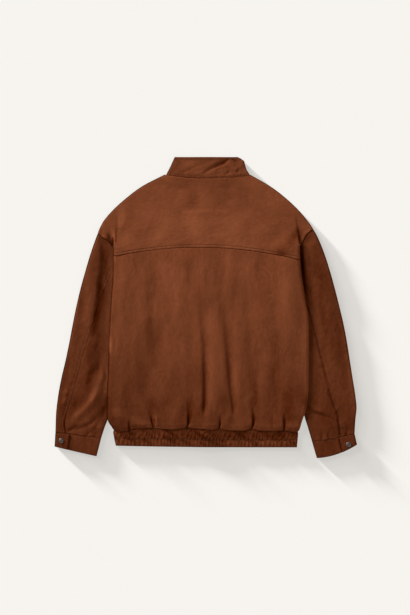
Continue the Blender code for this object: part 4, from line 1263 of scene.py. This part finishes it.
# How far the upper piece laps over the sleeve's seam, and the under piece stays back from it.
SEAM_LAP = 0.8
SEAM_TUCK = 0.6
# How far the topstitching runs from the seam.
SLEEVE_STITCH = 5.2
# Height at which the sleeve's sewn ends go in under the yoke and the cuff.
SEWN_LEVEL = 2.9
SLEEVE_SEAM = {
    "left": [At(118, 222), At(89, 234.5), At(19, 264), At(-60, 289), At(-126, 309.5),
             At(-189, 326), At(-237, 340), At(-266, 348), At(-288, 353), At(-312, 350)],
    "right": [At(75, 200), At(40, 228), At(-1, 256), At(-56, 270), At(-86, 278), At(-131, 289),
              At(-179, 301), At(-223, 311), At(-258, 325), At(-282, 330), At(-318, 334.5)],
}
# Corners of the cuffs, at the sleeve and at the open end, how far their edges bow, and how far
# across the tab's lap lies.
Cuff = namedtuple("Cuff", "seam_inner seam_outer seam_bow end_inner end_outer end_bow tab")
CUFF = {
    "left": Cuff((261, -327), (375.5, -313), 1.5, (272.5, -372), (377.5, -347.5), -0.5, 0.70),
    "right": Cuff((266.5, -335), (373, -316), -1.5, (278.5, -376.5), (379, -342.5), -7.5, 0.63),
}
SLEEVE_CREASES = {
    "left": creases(
        ((-256, 182, -256, 136, -256, 96, -264, 40, -271, -10, -278, -66),
         (-1.2, -2, -2.5, -2.5, -2.2, -0.4), (8, 10), 0.2),
        ((-249, 150, -243, 122, -240, 92), (0.3, 1.3, 0.4), (6, 7)),
        ((-238, 66, -244, 44, -252, 14), (-1.2, -1, 0), (4, 6)),
        ((-286, 150, -292, 90, -300, 20), (0.6, 1.4, 0.4), (11, 14)),
        # The sleeve bends at the elbow: a broad fold to the vent, and a valley on either side.
        ((-243, -165, -258, -199, -280, -231, -310, -263, -339, -288),
         (2.8, 3.2, 2.7, 2, 0.6), (13, 9), 0.2),
        ((-254, -110, -266, -146, -284, -184), (-1.6, -2, -0.4), (10, 12)),
        ((-244, -226, -258, -258, -284, -288, -318, -304), (-0.8, -1.5, -1.3, -0.8), (7, 5), -0.2),
        ((-262, -70, -268, -98, -276, -134), (-0.8, -1.4, -0.2), (9, 12), 0.2),
        ((-252, -92, -256, -120, -258, -148), (0.3, 0.9, 0.3), (7, 8)),
        ((-340, -308, -328, -301, -315, -294), (-1.4, -1.3, 0), (3.2, 4), 0.2),
        ((-300, -322, -292, -314, -286, -308), (-1.2, -0.9, 0), (3.2, 4)),
        ((-276, -328, -274, -316, -268, -304), (-0.9, -0.7, 0), (3.2, 5)),
        ((-246, -232, -255, -261, -268, -290, -281, -312), (-0.6, -1.3, -1, -0.6), (5, 4)),
        ((-306, -262, -290, -288, -278, -306), (0.3, 1.3, 0.3), (9, 8)),
        ((-350, -60, -346, -130, -354, -200), (-0.2, -1.2, -0.4), (13, 11)),
        ((-326, 20, -326, -50, -338, -120), (0.3, 1.1, 0.3), 12),
        ((-312, 60, -306, 10, -312, -40), (-0.2, -1, 0), (10, 12)),
        ((-344, -206, -348, -214, -349, -222), (0.4, 1.7, 0.3), 5),
        ((-351, -228, -354, -238, -355, -246), (0.4, 1.6, 0.3), (4.5, 5)),
    ),
    "right": creases(
        ((257, -249, 268, -260, 290, -270, 312, -276, 330, -286),
         (-1.6, -1.9, -1.5, -1.1, -0.8), (4, 3.6), 0.3),
        ((264, -247, 284, -258, 306, -264), (0.5, 0.9, 0.2), 6),
        ((247, 148, 251, 110, 256, 64, 261, 20, 266, -36), (-0.8, -2, -1.9, -1.2, 0), (8, 9)),
        ((284, 130, 300, 40, 312, -40), (0.2, 1.5, 0.3), (13, 16)),
        ((306, -50, 318, -120, 328, -190), (0.2, 1.3, 0.2), (15, 16)),
        ((326, 60, 334, -20, 344, -110, 352, -190), (-0.2, -1.1, -0.9, -0.2), 12),
        ((290, 20, 296, -20, 300, -60), (-0.2, -0.9, 0), (7, 9)),
        ((272, -90, 276, -150, 272, -200), (0.2, 1, 0.2), (8, 10)),
        ((276, -138, 290, -150, 306, -152), (-0.2, -0.8, -0.1), (5, 6)),
        ((290, -332, 292, -318, 288, -302), (-1, -0.8, 0), (3.2, 5)),
        ((311, -330, 308, -318, 312, -304), (-1, -0.6, 0), (3.2, 5)),
        ((352, -322, 356, -306, 352, -288), (-1, -0.7, 0), (3.4, 5)),
        ((322, -252, 326, -255, 331, -262), (0.3, 1.5, 0.3), 4.5),
    ),
}
# Patches painted lighter or darker, with shades for rises: the nap's tone, painted shade in the
# valleys beside the body's edge and the elbow fold, painted highlights along the fold's crest, and
# painted light on the right sleeve's outer edge.
SLEEVE_TONE_AND_SHADE = {
    "left": creases(
        ((-254, 172, -250, 110, -256, 40, -268, -10, -276, -60),
         (-0.06, -0.2, -0.3, -0.34, -0.12), (11, 12)),
        ((-258, -110, -260, -136, -264, -156), (0.04, 0.16, 0.04), 10),
        ((-236, -156, -250, -184, -268, -214), (0.06, 0.22, 0.1), 6.5),
        ((-276, -20, -281, -60, -286, -110, -288, -160), (-0.02, -0.14, -0.08, -0.12), 9),
        ((-270, -238, -272, -262, -268, -290), (0.02, 0.1, 0.06), 10),
        ((-274, 150, -280, 110, -292, 60, -308, -20), (0.04, -0.06, -0.06, 0), (12, 16)),
        ((-352, -220, -352, -260, -350, -300), (-0.04, -0.12, -0.08), (20, 22)),
        ((-290, -190, -298, -222, -302, -270), (-0.02, -0.1, -0.06), 14),
        ((-246, -162, -270, -208, -298, -243, -330, -276), (0.12, 0.12, 0.08, 0.02), (10, 8)),
        ((-256, -128, -280, -160, -306, -196), (-0.1, -0.12, -0.08), 12),
        ((-246, -226, -260, -262, -296, -292, -326, -302), (-0.12, -0.14, -0.12, -0.04), 8),
        *spots(
            (-272, -46, 9, 16, -0.1), (-294, -118, 9, 16, -0.1), (-330, -238, 13, 12, -0.16),
            (-290, -184, 11, 16, -0.2), (-268, 62, 8, 34, -0.2), (-248, -190, 5, 22, 0.24),
            (-250, -128, 8, 12, 0.12), (-314, -250, 20, 16, -0.1), (-358, -255, 8, 36, -0.07),
            (-253, 60, 6, 10, 0.16),
        ),
        ((-300, -262, -282, -290, -276, -310), (0.02, 0.06, 0.04), 14),
    ),
    "right": creases(
        ((240, 152, 244, 110, 250, 60, 257, 20, 266, -40), (-0.26, -0.22, -0.08, 0, 0), (5, 6)),
        ((238, 160, 240, 128, 243, 96, 247, 60, 252, 20), (-0.1, -0.4, -0.6, -0.4, 0), (3, 3.2)),
        ((248, 164, 250, 134, 255, 100, 259, 60), (0.1, 0.24, 0.14, 0.04), (4, 5)),
        ((262, -110, 266, -180, 262, -240), (0.06, 0.14, 0.06), 8),
        ((340, 30, 352, -50, 366, -150, 372, -260), (0.06, 0.16, 0.2, 0.14), 13),
        ((300, 130, 318, 70, 332, 0), (0.06, 0.1, 0.06), (7, 8)),
        *spots(
            (290, 76, 10, 24, -0.14), (345, -106, 10, 24, 0.08), (314, -94, 9, 14, -0.12),
            (262, -206, 4, 14, 0.1), (296, -278, 12, 10, -0.08), (296, 44, 8, 24, -0.05),
            (292, -260, 16, 14, -0.06),
        ),
        ((280, 80, 290, 30, 306, -60, 312, -100), (0, -0.1, -0.08, 0), (13, 15)),
        ((306, -170, 306, -230, 300, -300), (-0.02, -0.08, -0.08), 18),
    ),
}
# Painted shadow along the seam and the vent that it ends in, where the lapped edge casts it.
for side, sign in SIGN.items():
    line = [(sign * (row.x + 0.5), row.y) for row in SLEEVE_SEAM[side]]
    shades = (0.0, -0.02, 0.0, -0.42) if side == "left" else (-0.26, -0.22, -0.22, -0.40)
    SLEEVE_TONE_AND_SHADE[side].append(crease(line, shades, (1.7, 2)))
# Creases of the under side, alike on both sleeves.
UNDER_CREASES = {
    side: [
        row._replace(path=row.path * (sign, 1))
        for row in creases(
            ((262, -200, 300, -240, 345, -262), (1.4, 0.5), (9, 11), 0.2),
            ((250, -130, 285, -160, 318, -172), (1.2, 0.3), (9, 12)),
            ((240, -40, 275, -70, 306, -76), (1.1, 0.3), (10, 13)),
            ((300, -334, 304, -306), (1.4, 0), (4, 7)),
            ((336, -326, 332, -296), (1.3, 0), (4, 8)),
        )
    ]
    for side, sign in SIGN.items()
}


def cuff_point(side, u, b):
    """(x, y) on a cuff: u from its inner edge to its outer one, b from the sleeve down."""
    cuff = CUFF[side]
    x_seam = mix(cuff.seam_inner[0], cuff.seam_outer[0], u)
    x_end = mix(cuff.end_inner[0], cuff.end_outer[0], u)
    bowed = 4 * u * (1 - u)
    y_seam = mix(cuff.seam_inner[1], cuff.seam_outer[1], u) + cuff.seam_bow * bowed
    y_end = mix(cuff.end_inner[1], cuff.end_outer[1], u) + cuff.end_bow * bowed
    return SIGN[side] * mix(x_seam, x_end, b), mix(y_seam, y_end, b)


def sleeve_point(side, u, b):
    """(x, y) on a sleeve, on a patch between armhole, inner fold, outline and cuff."""
    sign = SIGN[side]
    armpit, shoulder = ARMHOLE[side][-1], ARMHOLE[side][0]

    def edge(table, start, end, t):
        y = mix(start, end, t)
        return np.stack(np.broadcast_arrays(sign * follow(table, y), y))

    def cuff(t):
        return np.stack(np.broadcast_arrays(*cuff_point(side, t, 0)))

    def armhole(t):
        return edge(ARMHOLE[side], armpit.y, shoulder.y, t)

    inner = edge(SLEEVE_FOLD[side], armpit.y, CUFF[side].seam_inner[1], b)
    outer = edge(OUTLINE[side], shoulder.y, CUFF[side].seam_outer[1], b)
    corners = (
        armhole(np.zeros_like(u)) * (1 - u) * (1 - b) + armhole(np.ones_like(u)) * u * (1 - b)
        + cuff(np.zeros_like(u)) * (1 - u) * b + cuff(np.ones_like(u)) * u * b
    )
    x, y = armhole(u) * (1 - b) + cuff(u) * b + inner * (1 - u) + outer * u - corners
    return x, y


def seam_share(side, b):
    """The u at which row b crosses the seam on the back of the sleeve."""
    low, high = np.zeros_like(b), np.ones_like(b)
    for _ in range(30):
        u = (low + high) / 2
        x, y = sleeve_point(side, u, b)
        outside = np.abs(x) > follow(SLEEVE_SEAM[side], y)
        low, high = np.where(outside, low, u), np.where(outside, u, high)
    return u


def tube_rows(place, side, b, walk, high, low):
    """Rows round a flattened tube. walk holds ("top" or "under", u) and ("inner" or "outer",
    turns) strips, with the turns of a roll from the top (0) to the underside (1)."""
    ends = [np.stack(np.broadcast_arrays(*place(side, np.full_like(b, u), b))) for u in (0, 1)]
    width = np.hypot(*(ends[1] - ends[0]))
    start = (WALL / 2 + TUBE_REACH) / width
    strips = []
    for layer, value in walk:
        if layer in ("inner", "outer"):
            inset = (WALL / 2 + TUBE_REACH * (1 - np.sin(np.pi * value))) / width
            top = start if layer == "inner" else 1 - start
            top_x, top_y = place(side, top, b)
            x, y = place(side, inset if layer == "inner" else 1 - inset, b)
            top_z, low_z = high(top_x, top_y), low(top_x, top_y)
            z = (top_z + low_z) / 2 + (top_z - low_z) / 2 * np.cos(np.pi * value)
        else:
            u = value + 0 * b
            x, y = place(side, u, b + 0 * u)
            z = high(x, y) if layer == "top" else low(x, y)
        strips.append(points(x, y, z))
    return np.concatenate(strips, axis=1)


def sleeve_top(side, piece, x, y):
    """Middle of the sleeve's upper layer: low under the body, crowned beside it, with a lapped
    seam. The upper piece's edge lies over the under piece's."""
    clear = np.abs(x) - body_edge(side, y)
    low = mix(SLEEVE_UNDER_BODY, SLEEVE_CROWN, ramp(y, 158, 184))
    # At the left elbow a fold comes out from under the body, so that it rises at once.
    elbow = bell(y + 170, 26) if side == "left" else 0.0
    crown = smooth((clear - mix(7, 3, elbow)) / mix(30, 12, elbow))
    cuff = CUFF[side]
    across = (np.abs(x) - cuff.seam_inner[0]) / (cuff.seam_outer[0] - cuff.seam_inner[0])
    above_cuff = y - mix(cuff.seam_inner[1], cuff.seam_outer[1], across)
    high = mix(CUFF_CROWN, SLEEVE_CROWN, smooth(above_cuff / 34))
    high = high + creased(SLEEVE_CREASES[side], x, y)
    high = high + uneven(x, y, 36, 1.1, 2.4) + uneven(x, y, 12, 0.3)
    height = mix(low, high, crown)
    seam = np.abs(x) - follow(SLEEVE_SEAM[side], y)
    shown = ramp(clear, 2, 8)
    edge = 0.12 * bell(seam - 2.0, 2.0) - 0.28 * bell(seam - SLEEVE_STITCH, 1.1)
    if piece == "under":
        edge = (-0.25 if side == "left" else -0.45) * bell(seam + 1.0, 2.2)
    return height + shown * (edge + 0.7 * pucker(y, seam - 2, 5))


def sleeve_low(side, x, y):
    return FLOOR_MIDDLE + creased(UNDER_CREASES[side], x, y) * ramp(np.abs(x), 240, 260)


# How light each sleeve is painted from the cuff to the shoulder, and the turn of its brushing.
# The right sleeve is painted darker than the left, as painted shade.
SLEEVE_SHADES = {
    "left": ((0.25, 0.36, 0.42), 0.18),
    "right": ((0.19, 0.22, 0.20), -0.18),
}
# Where the seam on the back of the sleeve comes out from under the body.
SLEEVE_STITCH_TOP = {"left": 84.0, "right": -6.0}
for side in SIGN:
    shades, turn = SLEEVE_SHADES[side]
    sleeve_suede = suede(f"sleeve_{side}_suede", shades, turn)
    b = spaced(168, 0.0025, 0.9985, (0, 1), 0.06, 1.2)[:, None]
    seam = seam_share(side, b)
    inner_end, outer_end = (np.stack(sleeve_point(side, np.full_like(b, u), b)) for u in (0, 1))
    width = np.hypot(*(outer_end - inner_end))
    edge = (WALL / 2 + TUBE_REACH) / width
    near_seam = spaced(44, 0, 1, (0,), 0.12, 3.0)[:-1]
    below = np.linspace(0, 1, 24)[1:]
    # Each piece runs from the seam to its fold on top, and on below to where the two meet.
    walks = {
        "upper": (seam - SEAM_LAP / width, 1 - edge, "outer", UNDER_SEAM + SEAM_GAP / 2 / width),
        "under": (seam + SEAM_TUCK / width, edge, "inner", UNDER_SEAM - SEAM_GAP / 2 / width),
    }
    shells = []
    for piece, (start, turn_at, fold, end) in walks.items():
        walk = [("top", mix(start, turn_at, near_seam)), (fold, ROLL_TURNS),
                ("under", mix(turn_at, end, below))]
        rows = tube_rows(sleeve_point, side, b, walk, lambda x, y: sleeve_top(side, piece, x, y),
                         lambda x, y: sleeve_low(side, x, y))
        rows = tucked(tucked(rows, 0, SEWN_LEVEL), -1, SEWN_LEVEL)
        shells.append(cloth(f"sleeve_{side}_{piece}_shell", rows, sleeve_suede,
                            SLEEVE_CREASES[side], SLEEVE_TONE_AND_SHADE[side]))
        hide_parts(f"sleeve_{side}_{piece}")
    upper, under = shells
    y = np.linspace(SLEEVE_STITCH_TOP[side], CUFF[side].seam_outer[1] + 2, 60)
    x = SIGN[side] * (follow(SLEEVE_SEAM[side], y) + SLEEVE_STITCH)
    stitches = sew(f"sleeve_{side}_topstitching", upper, x, y)

# Cuffs ------------------------------------------------------------------------------------------
# Each cuff is a band of doubled suede, topstitched all round. Its tab laps over the other end at
# the vent, where one press stud closes it.

# Middle heights of the cuff, and of the tab that laps over it.
CUFF_MIDDLE = 4.9
TAB_MIDDLE = CUFF_MIDDLE + WALL + 0.7
CUFF_CREASES = {
    "left": creases(
        ((-300, -322, -296, -345, -302, -362), (-0.6, -0.2), (7, 8)),
        ((-333, -318, -330, -334), (-0.7, -0.2), (5, 7)),
    ),
    "right": creases(
        ((300, -330, 296, -350, 300, -366), (-0.6, -0.3), (7, 8)),
        ((322, -326, 325, -344), (-0.6, -0.2), (6, 7)),
    ),
}
# How light each cuff is painted, the same all over it; the right one is a little darker.
CUFF_SHADES = {"left": (0.18, 0.18, 0.18), "right": (0.17, 0.17, 0.17)}
# Painted shadow along the edge of the lapped tab, with shades for rises.
CUFF_TAB_SHADOW = {
    "left": creases(((-338, -320, -342, -352), (-0.2, -0.1), 1.8)),
    "right": creases(((333, -326, 342, -366), (-0.4, -0.4), 1.8)),
}
CUFF_STITCH = 3.5
# Width round each cuff and depth from the sleeve down, in millimetres.
CUFF_WIDTH = 115.0
CUFF_DEPTH = 46.0
# Shares of the width: where the under layer comes near its inner roll, and how far the end on
# that side runs in beneath the tab.
NEAR_INNER = 0.15
BENEATH_TAB = 0.88
for side in SIGN:
    tab = CUFF[side].tab
    b = spaced(30, 0.012, 1.0, (0.012, 1.0), 0.12, 1.0)[:, None]
    edge = (WALL / 2 + TUBE_REACH) / CUFF_WIDTH

    def rolled_edges(b):
        """The doubled band is thinner at its edges, with a groove at each row of stitching."""
        from_ends = np.minimum(b * CUFF_DEPTH, (1 - b) * CUFF_DEPTH)
        return 0.5 * smooth(from_ends / 4) - 0.4 * bell(from_ends - CUFF_STITCH, 1.0)

    def cuff_top(x, y):
        return CUFF_MIDDLE + creased(CUFF_CREASES[side], x, y) + rolled_edges(b) + 0 * x

    def tab_top(x, y):
        return TAB_MIDDLE + 0.6 * rolled_edges(b) + 0 * x

    def low(x, y):
        return FLOOR_MIDDLE + 0 * x

    near_tab = spaced(24, 0, 1, (0,), 0.2, 1.0)[:-1]
    walk = [("top", mix(tab, 1 - edge, near_tab)), ("outer", ROLL_TURNS),
            ("under", mix(1 - edge, NEAR_INNER, np.linspace(0, 1, 40)[1:]))]
    outer = tube_rows(cuff_point, side, b, walk, tab_top, low)
    walk = [("inner", ROLL_TURNS[::-1]),
            ("top", mix(edge, BENEATH_TAB, np.linspace(0, 1, 46)[1:]))]
    inner = tube_rows(cuff_point, side, b, walk, cuff_top, low)
    cuff = cloth(
        f"cuff_{side}_shell", np.concatenate([outer, inner], axis=1),
        suede(f"cuff_{side}_suede", CUFF_SHADES[side]), tone_and_shade=CUFF_TAB_SHADOW[side], rim=FOLDED,
    )
    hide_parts(f"cuff_{side}")
    inset = CUFF_STITCH / CUFF_DEPTH
    across = np.linspace(0.05, 0.95, 40)
    rows = {
        "seam": (across, np.full(40, inset)),
        "edge": (across, np.full(40, 1 - inset)),
        "tab": (np.full(12, tab + CUFF_STITCH / CUFF_WIDTH),
                np.linspace(2 * inset, 1 - 2 * inset, 12)),
    }
    stitches = [
        sew(f"cuff_{side}_topstitching_{row}", cuff, *cuff_point(side, u, b))
        for row, (u, b) in rows.items()
    ]

# Press studs ------------------------------------------------------------------------------------
# Caps of dark plated metal: a domed middle inside a ring, rolled over at the rim. One closes
# each cuff and five close the front, face down on the surface.

stud_metal, tree, shader, place = new_material("gunmetal")
tarnish = node(tree, "ShaderNodeTexNoise", {"Vector": place, "Scale": 420.0, "Detail": 4.0})
colour = node(tree, "ShaderNodeMix", {
    0: tarnish.outputs["Fac"], 6: (0.075, 0.069, 0.065, 1.0), 7: (0.17, 0.158, 0.147, 1.0),
}, data_type="RGBA")
roughness = node(tree, "ShaderNodeMapRange", {
    "Value": tarnish.outputs["Fac"], "To Min": 0.46, "To Max": 0.60,
})
feed(tree, shader, {
    "Base Color": colour.outputs[2], "Roughness": roughness.outputs[0], "Metallic": 0.9,
})

CAP_RADIUS = 6.25
CAP_HEIGHT = 1.8
RIM_HEIGHT = 1.1
CAP_BEVEL = 0.18
# Gap between a cap and the cuff beneath it.
STUD_GAP = 0.25
# From the rim inwards: a ring rises, falls into a groove, and a dome fills the middle. Each
# step is how far in it goes, and how far up.
CAP_STEPS = ((0.7, 0.5), (0.9, 0.15), (0.5, -0.35), (0.45, -0.25), (0.4, 0.3), (1.2, 0.35),
             (1.0, 0.0))


def press_stud(name, seat, face_down):
    """A cap whose flat back is at seat, in millimetres, modelled about its own axis."""
    bpy.ops.object.select_all(action="DESELECT")
    bpy.ops.mesh.primitive_cylinder_add(
        vertices=48, radius=CAP_RADIUS * MM, depth=RIM_HEIGHT * MM,
        location=(0, 0, RIM_HEIGHT / 2 * MM),
    )
    cap = bpy.context.object
    cap.name = cap.data.name = name
    bpy.ops.object.transform_apply(location=True, rotation=True, scale=True)
    bpy.ops.object.mode_set(mode="EDIT")
    bpy.ops.mesh.select_mode(type="FACE")
    bpy.ops.mesh.select_all(action="DESELECT")
    bpy.ops.object.mode_set(mode="OBJECT")
    for face in cap.data.polygons:
        face.select = face.normal.z > 0.9
    bpy.ops.object.mode_set(mode="EDIT")
    for inset, lift in CAP_STEPS:
        bpy.ops.mesh.inset(thickness=inset * MM, depth=lift * MM)
    bpy.ops.object.mode_set(mode="OBJECT")
    soften = cap.modifiers.new("soft_edges", "BEVEL")
    soften.width = CAP_BEVEL * MM
    soften.segments = 2
    soften.angle_limit = np.radians(25)
    bpy.ops.object.modifier_apply(modifier=soften.name)
    turn = Matrix.Rotation(np.pi if face_down else 0.0, 4, "X")
    cap.data.transform(Matrix.Translation(Vector(seat) * MM) @ turn)
    bpy.ops.object.shade_smooth_by_angle(angle=np.radians(40))
    cap.data.materials.append(stud_metal)
    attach(cap, "root")
    return cap


FRONT_STUDS = 5
# Heights of the first and the last stud of the front.
FRONT_STUD_ENDS = (288.0, -262.0)
# Where a stud sits on its cuff: its share of the way across, and from the sleeve down.
STUD_SEAT = {"left": (0.855, 0.5), "right": (0.812, 0.675)}
for side in SIGN:
    x, y = cuff_point(side, *STUD_SEAT[side])
    seat = (x, y, TAB_MIDDLE + WALL / 2 + STUD_GAP)
    stud = press_stud(f"cuff_{side}_press_stud", seat, False)
    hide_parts(f"stud_cuff_{side}")
for k in range(FRONT_STUDS):
    y = mix(*FRONT_STUD_ENDS, k / (FRONT_STUDS - 1))
    stud = press_stud(f"front_press_stud_{k + 1}", (0, y, CAP_HEIGHT), True)
    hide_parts(f"stud_front_{k + 1}")

# Surface, light and camera ----------------------------------------------------------------------
# A pale surface with a faint glow of its own, in a warm room. Two low windows, on the collar's
# left, rake over the nap and the folds, and a third one, lower still, reaches the surface only.
# The camera looks straight down from above.

SURFACE_SIZE = 60
# Just under the lowest stitch.
SURFACE_LEVEL = -0.00046
WINDOW_DISTANCE = 3.0
PIXEL = 0.0025
IMAGE_HEIGHT = 615
LENS = 85.0
SENSOR = 36.0
# Height at which one pixel is as wide as PIXEL.
SCALE_HEIGHT = 0.006

bpy.ops.object.select_all(action="DESELECT")
bpy.ops.mesh.primitive_plane_add(size=SURFACE_SIZE)
floor = bpy.context.object
floor.name = "pale_surface"
floor_material, tree, shader, place = new_material("pale_surface")
grain = node(tree, "ShaderNodeTexNoise", {"Vector": place, "Scale": 3.0, "Detail": 2.0})
tone = node(tree, "ShaderNodeMix", {
    0: grain.outputs["Fac"], 6: (0.203, 0.198, 0.188, 1.0), 7: (0.209, 0.203, 0.194, 1.0),
}, data_type="RGBA")
feed(tree, shader, {
    "Base Color": tone.outputs[2], "Roughness": 1.0, "Specular IOR Level": 0.0,
    "Emission Color": (1.0, 0.997, 0.974, 1.0), "Emission Strength": 0.527,
})
floor.data.materials.append(floor_material)
floor.location.z = SURFACE_LEVEL

world = bpy.data.worlds.new("soft_room")
bpy.context.scene.world = world
world.use_nodes = True
tree = world.node_tree
# The room is brighter low down on the side away from the windows, as from a wide reflector.
view = node(tree, "ShaderNodeTexCoord").outputs["Generated"]
facing = node(tree, "ShaderNodeVectorMath", {0: view, 1: (0.68, -0.64, 0.36)},
              operation="DOT_PRODUCT")
glow = node(tree, "ShaderNodeMapRange", {
    "Value": facing.outputs["Value"], "From Min": 0.2, "From Max": 1.0, "To Min": 0.24,
    "To Max": 0.8,
}, interpolation_type="SMOOTHSTEP").outputs[0]
feed(tree, tree.nodes["Background"], {"Color": (1.0, 0.82, 0.64, 1.0), "Strength": glow})


def window(name, power, azimuth, elevation, breadth):
    """A sun lamp that shines on the middle of the jacket, from this azimuth (0 from +X, 90 from
    +Y) and elevation, through an opening of this breadth. All three are in degrees."""
    light = bpy.data.lights.new(name, "SUN")
    light.energy = power
    light.angle = np.radians(breadth)
    lamp = bpy.data.objects.new(name, light)
    bpy.context.scene.collection.objects.link(lamp)
    azimuth, elevation = np.radians(azimuth), np.radians(elevation)
    level = WINDOW_DISTANCE * np.cos(elevation)
    height = WINDOW_DISTANCE * np.sin(elevation)
    place = Vector((level * np.cos(azimuth), level * np.sin(azimuth), height))
    lamp.location = place
    lamp.rotation_euler = (-place).to_track_quat("-Z", "Y").to_euler()
    return lamp


window("raking_window", 2.9, 140, 20, 16)
window("low_window", 6.0, 132, 7.5, 9)
# The lowest light falls on the surface alone, where it draws out the jacket's soft shadow.
surface_only = bpy.data.collections.new("surface_only")
surface_only.objects.link(floor)
floor_window = window("floor_window", 46.0, 136, 3.9, 3.2)
floor_window.light_linking.receiver_collection = surface_only

camera = bpy.data.cameras.new("above")
camera.lens = LENS
camera.sensor_width = SENSOR
camera.sensor_fit = "AUTO"
camera_object = bpy.data.objects.new("above", camera)
bpy.context.scene.collection.objects.link(camera_object)
distance = IMAGE_HEIGHT * PIXEL * LENS / SENSOR
# The jacket's middle is half a pixel to the right of the image's.
camera_object.location = (-0.5 * PIXEL, 0.0, distance + SCALE_HEIGHT)
bpy.context.scene.camera = camera_object
bpy.context.scene.view_settings.view_transform = "Standard"
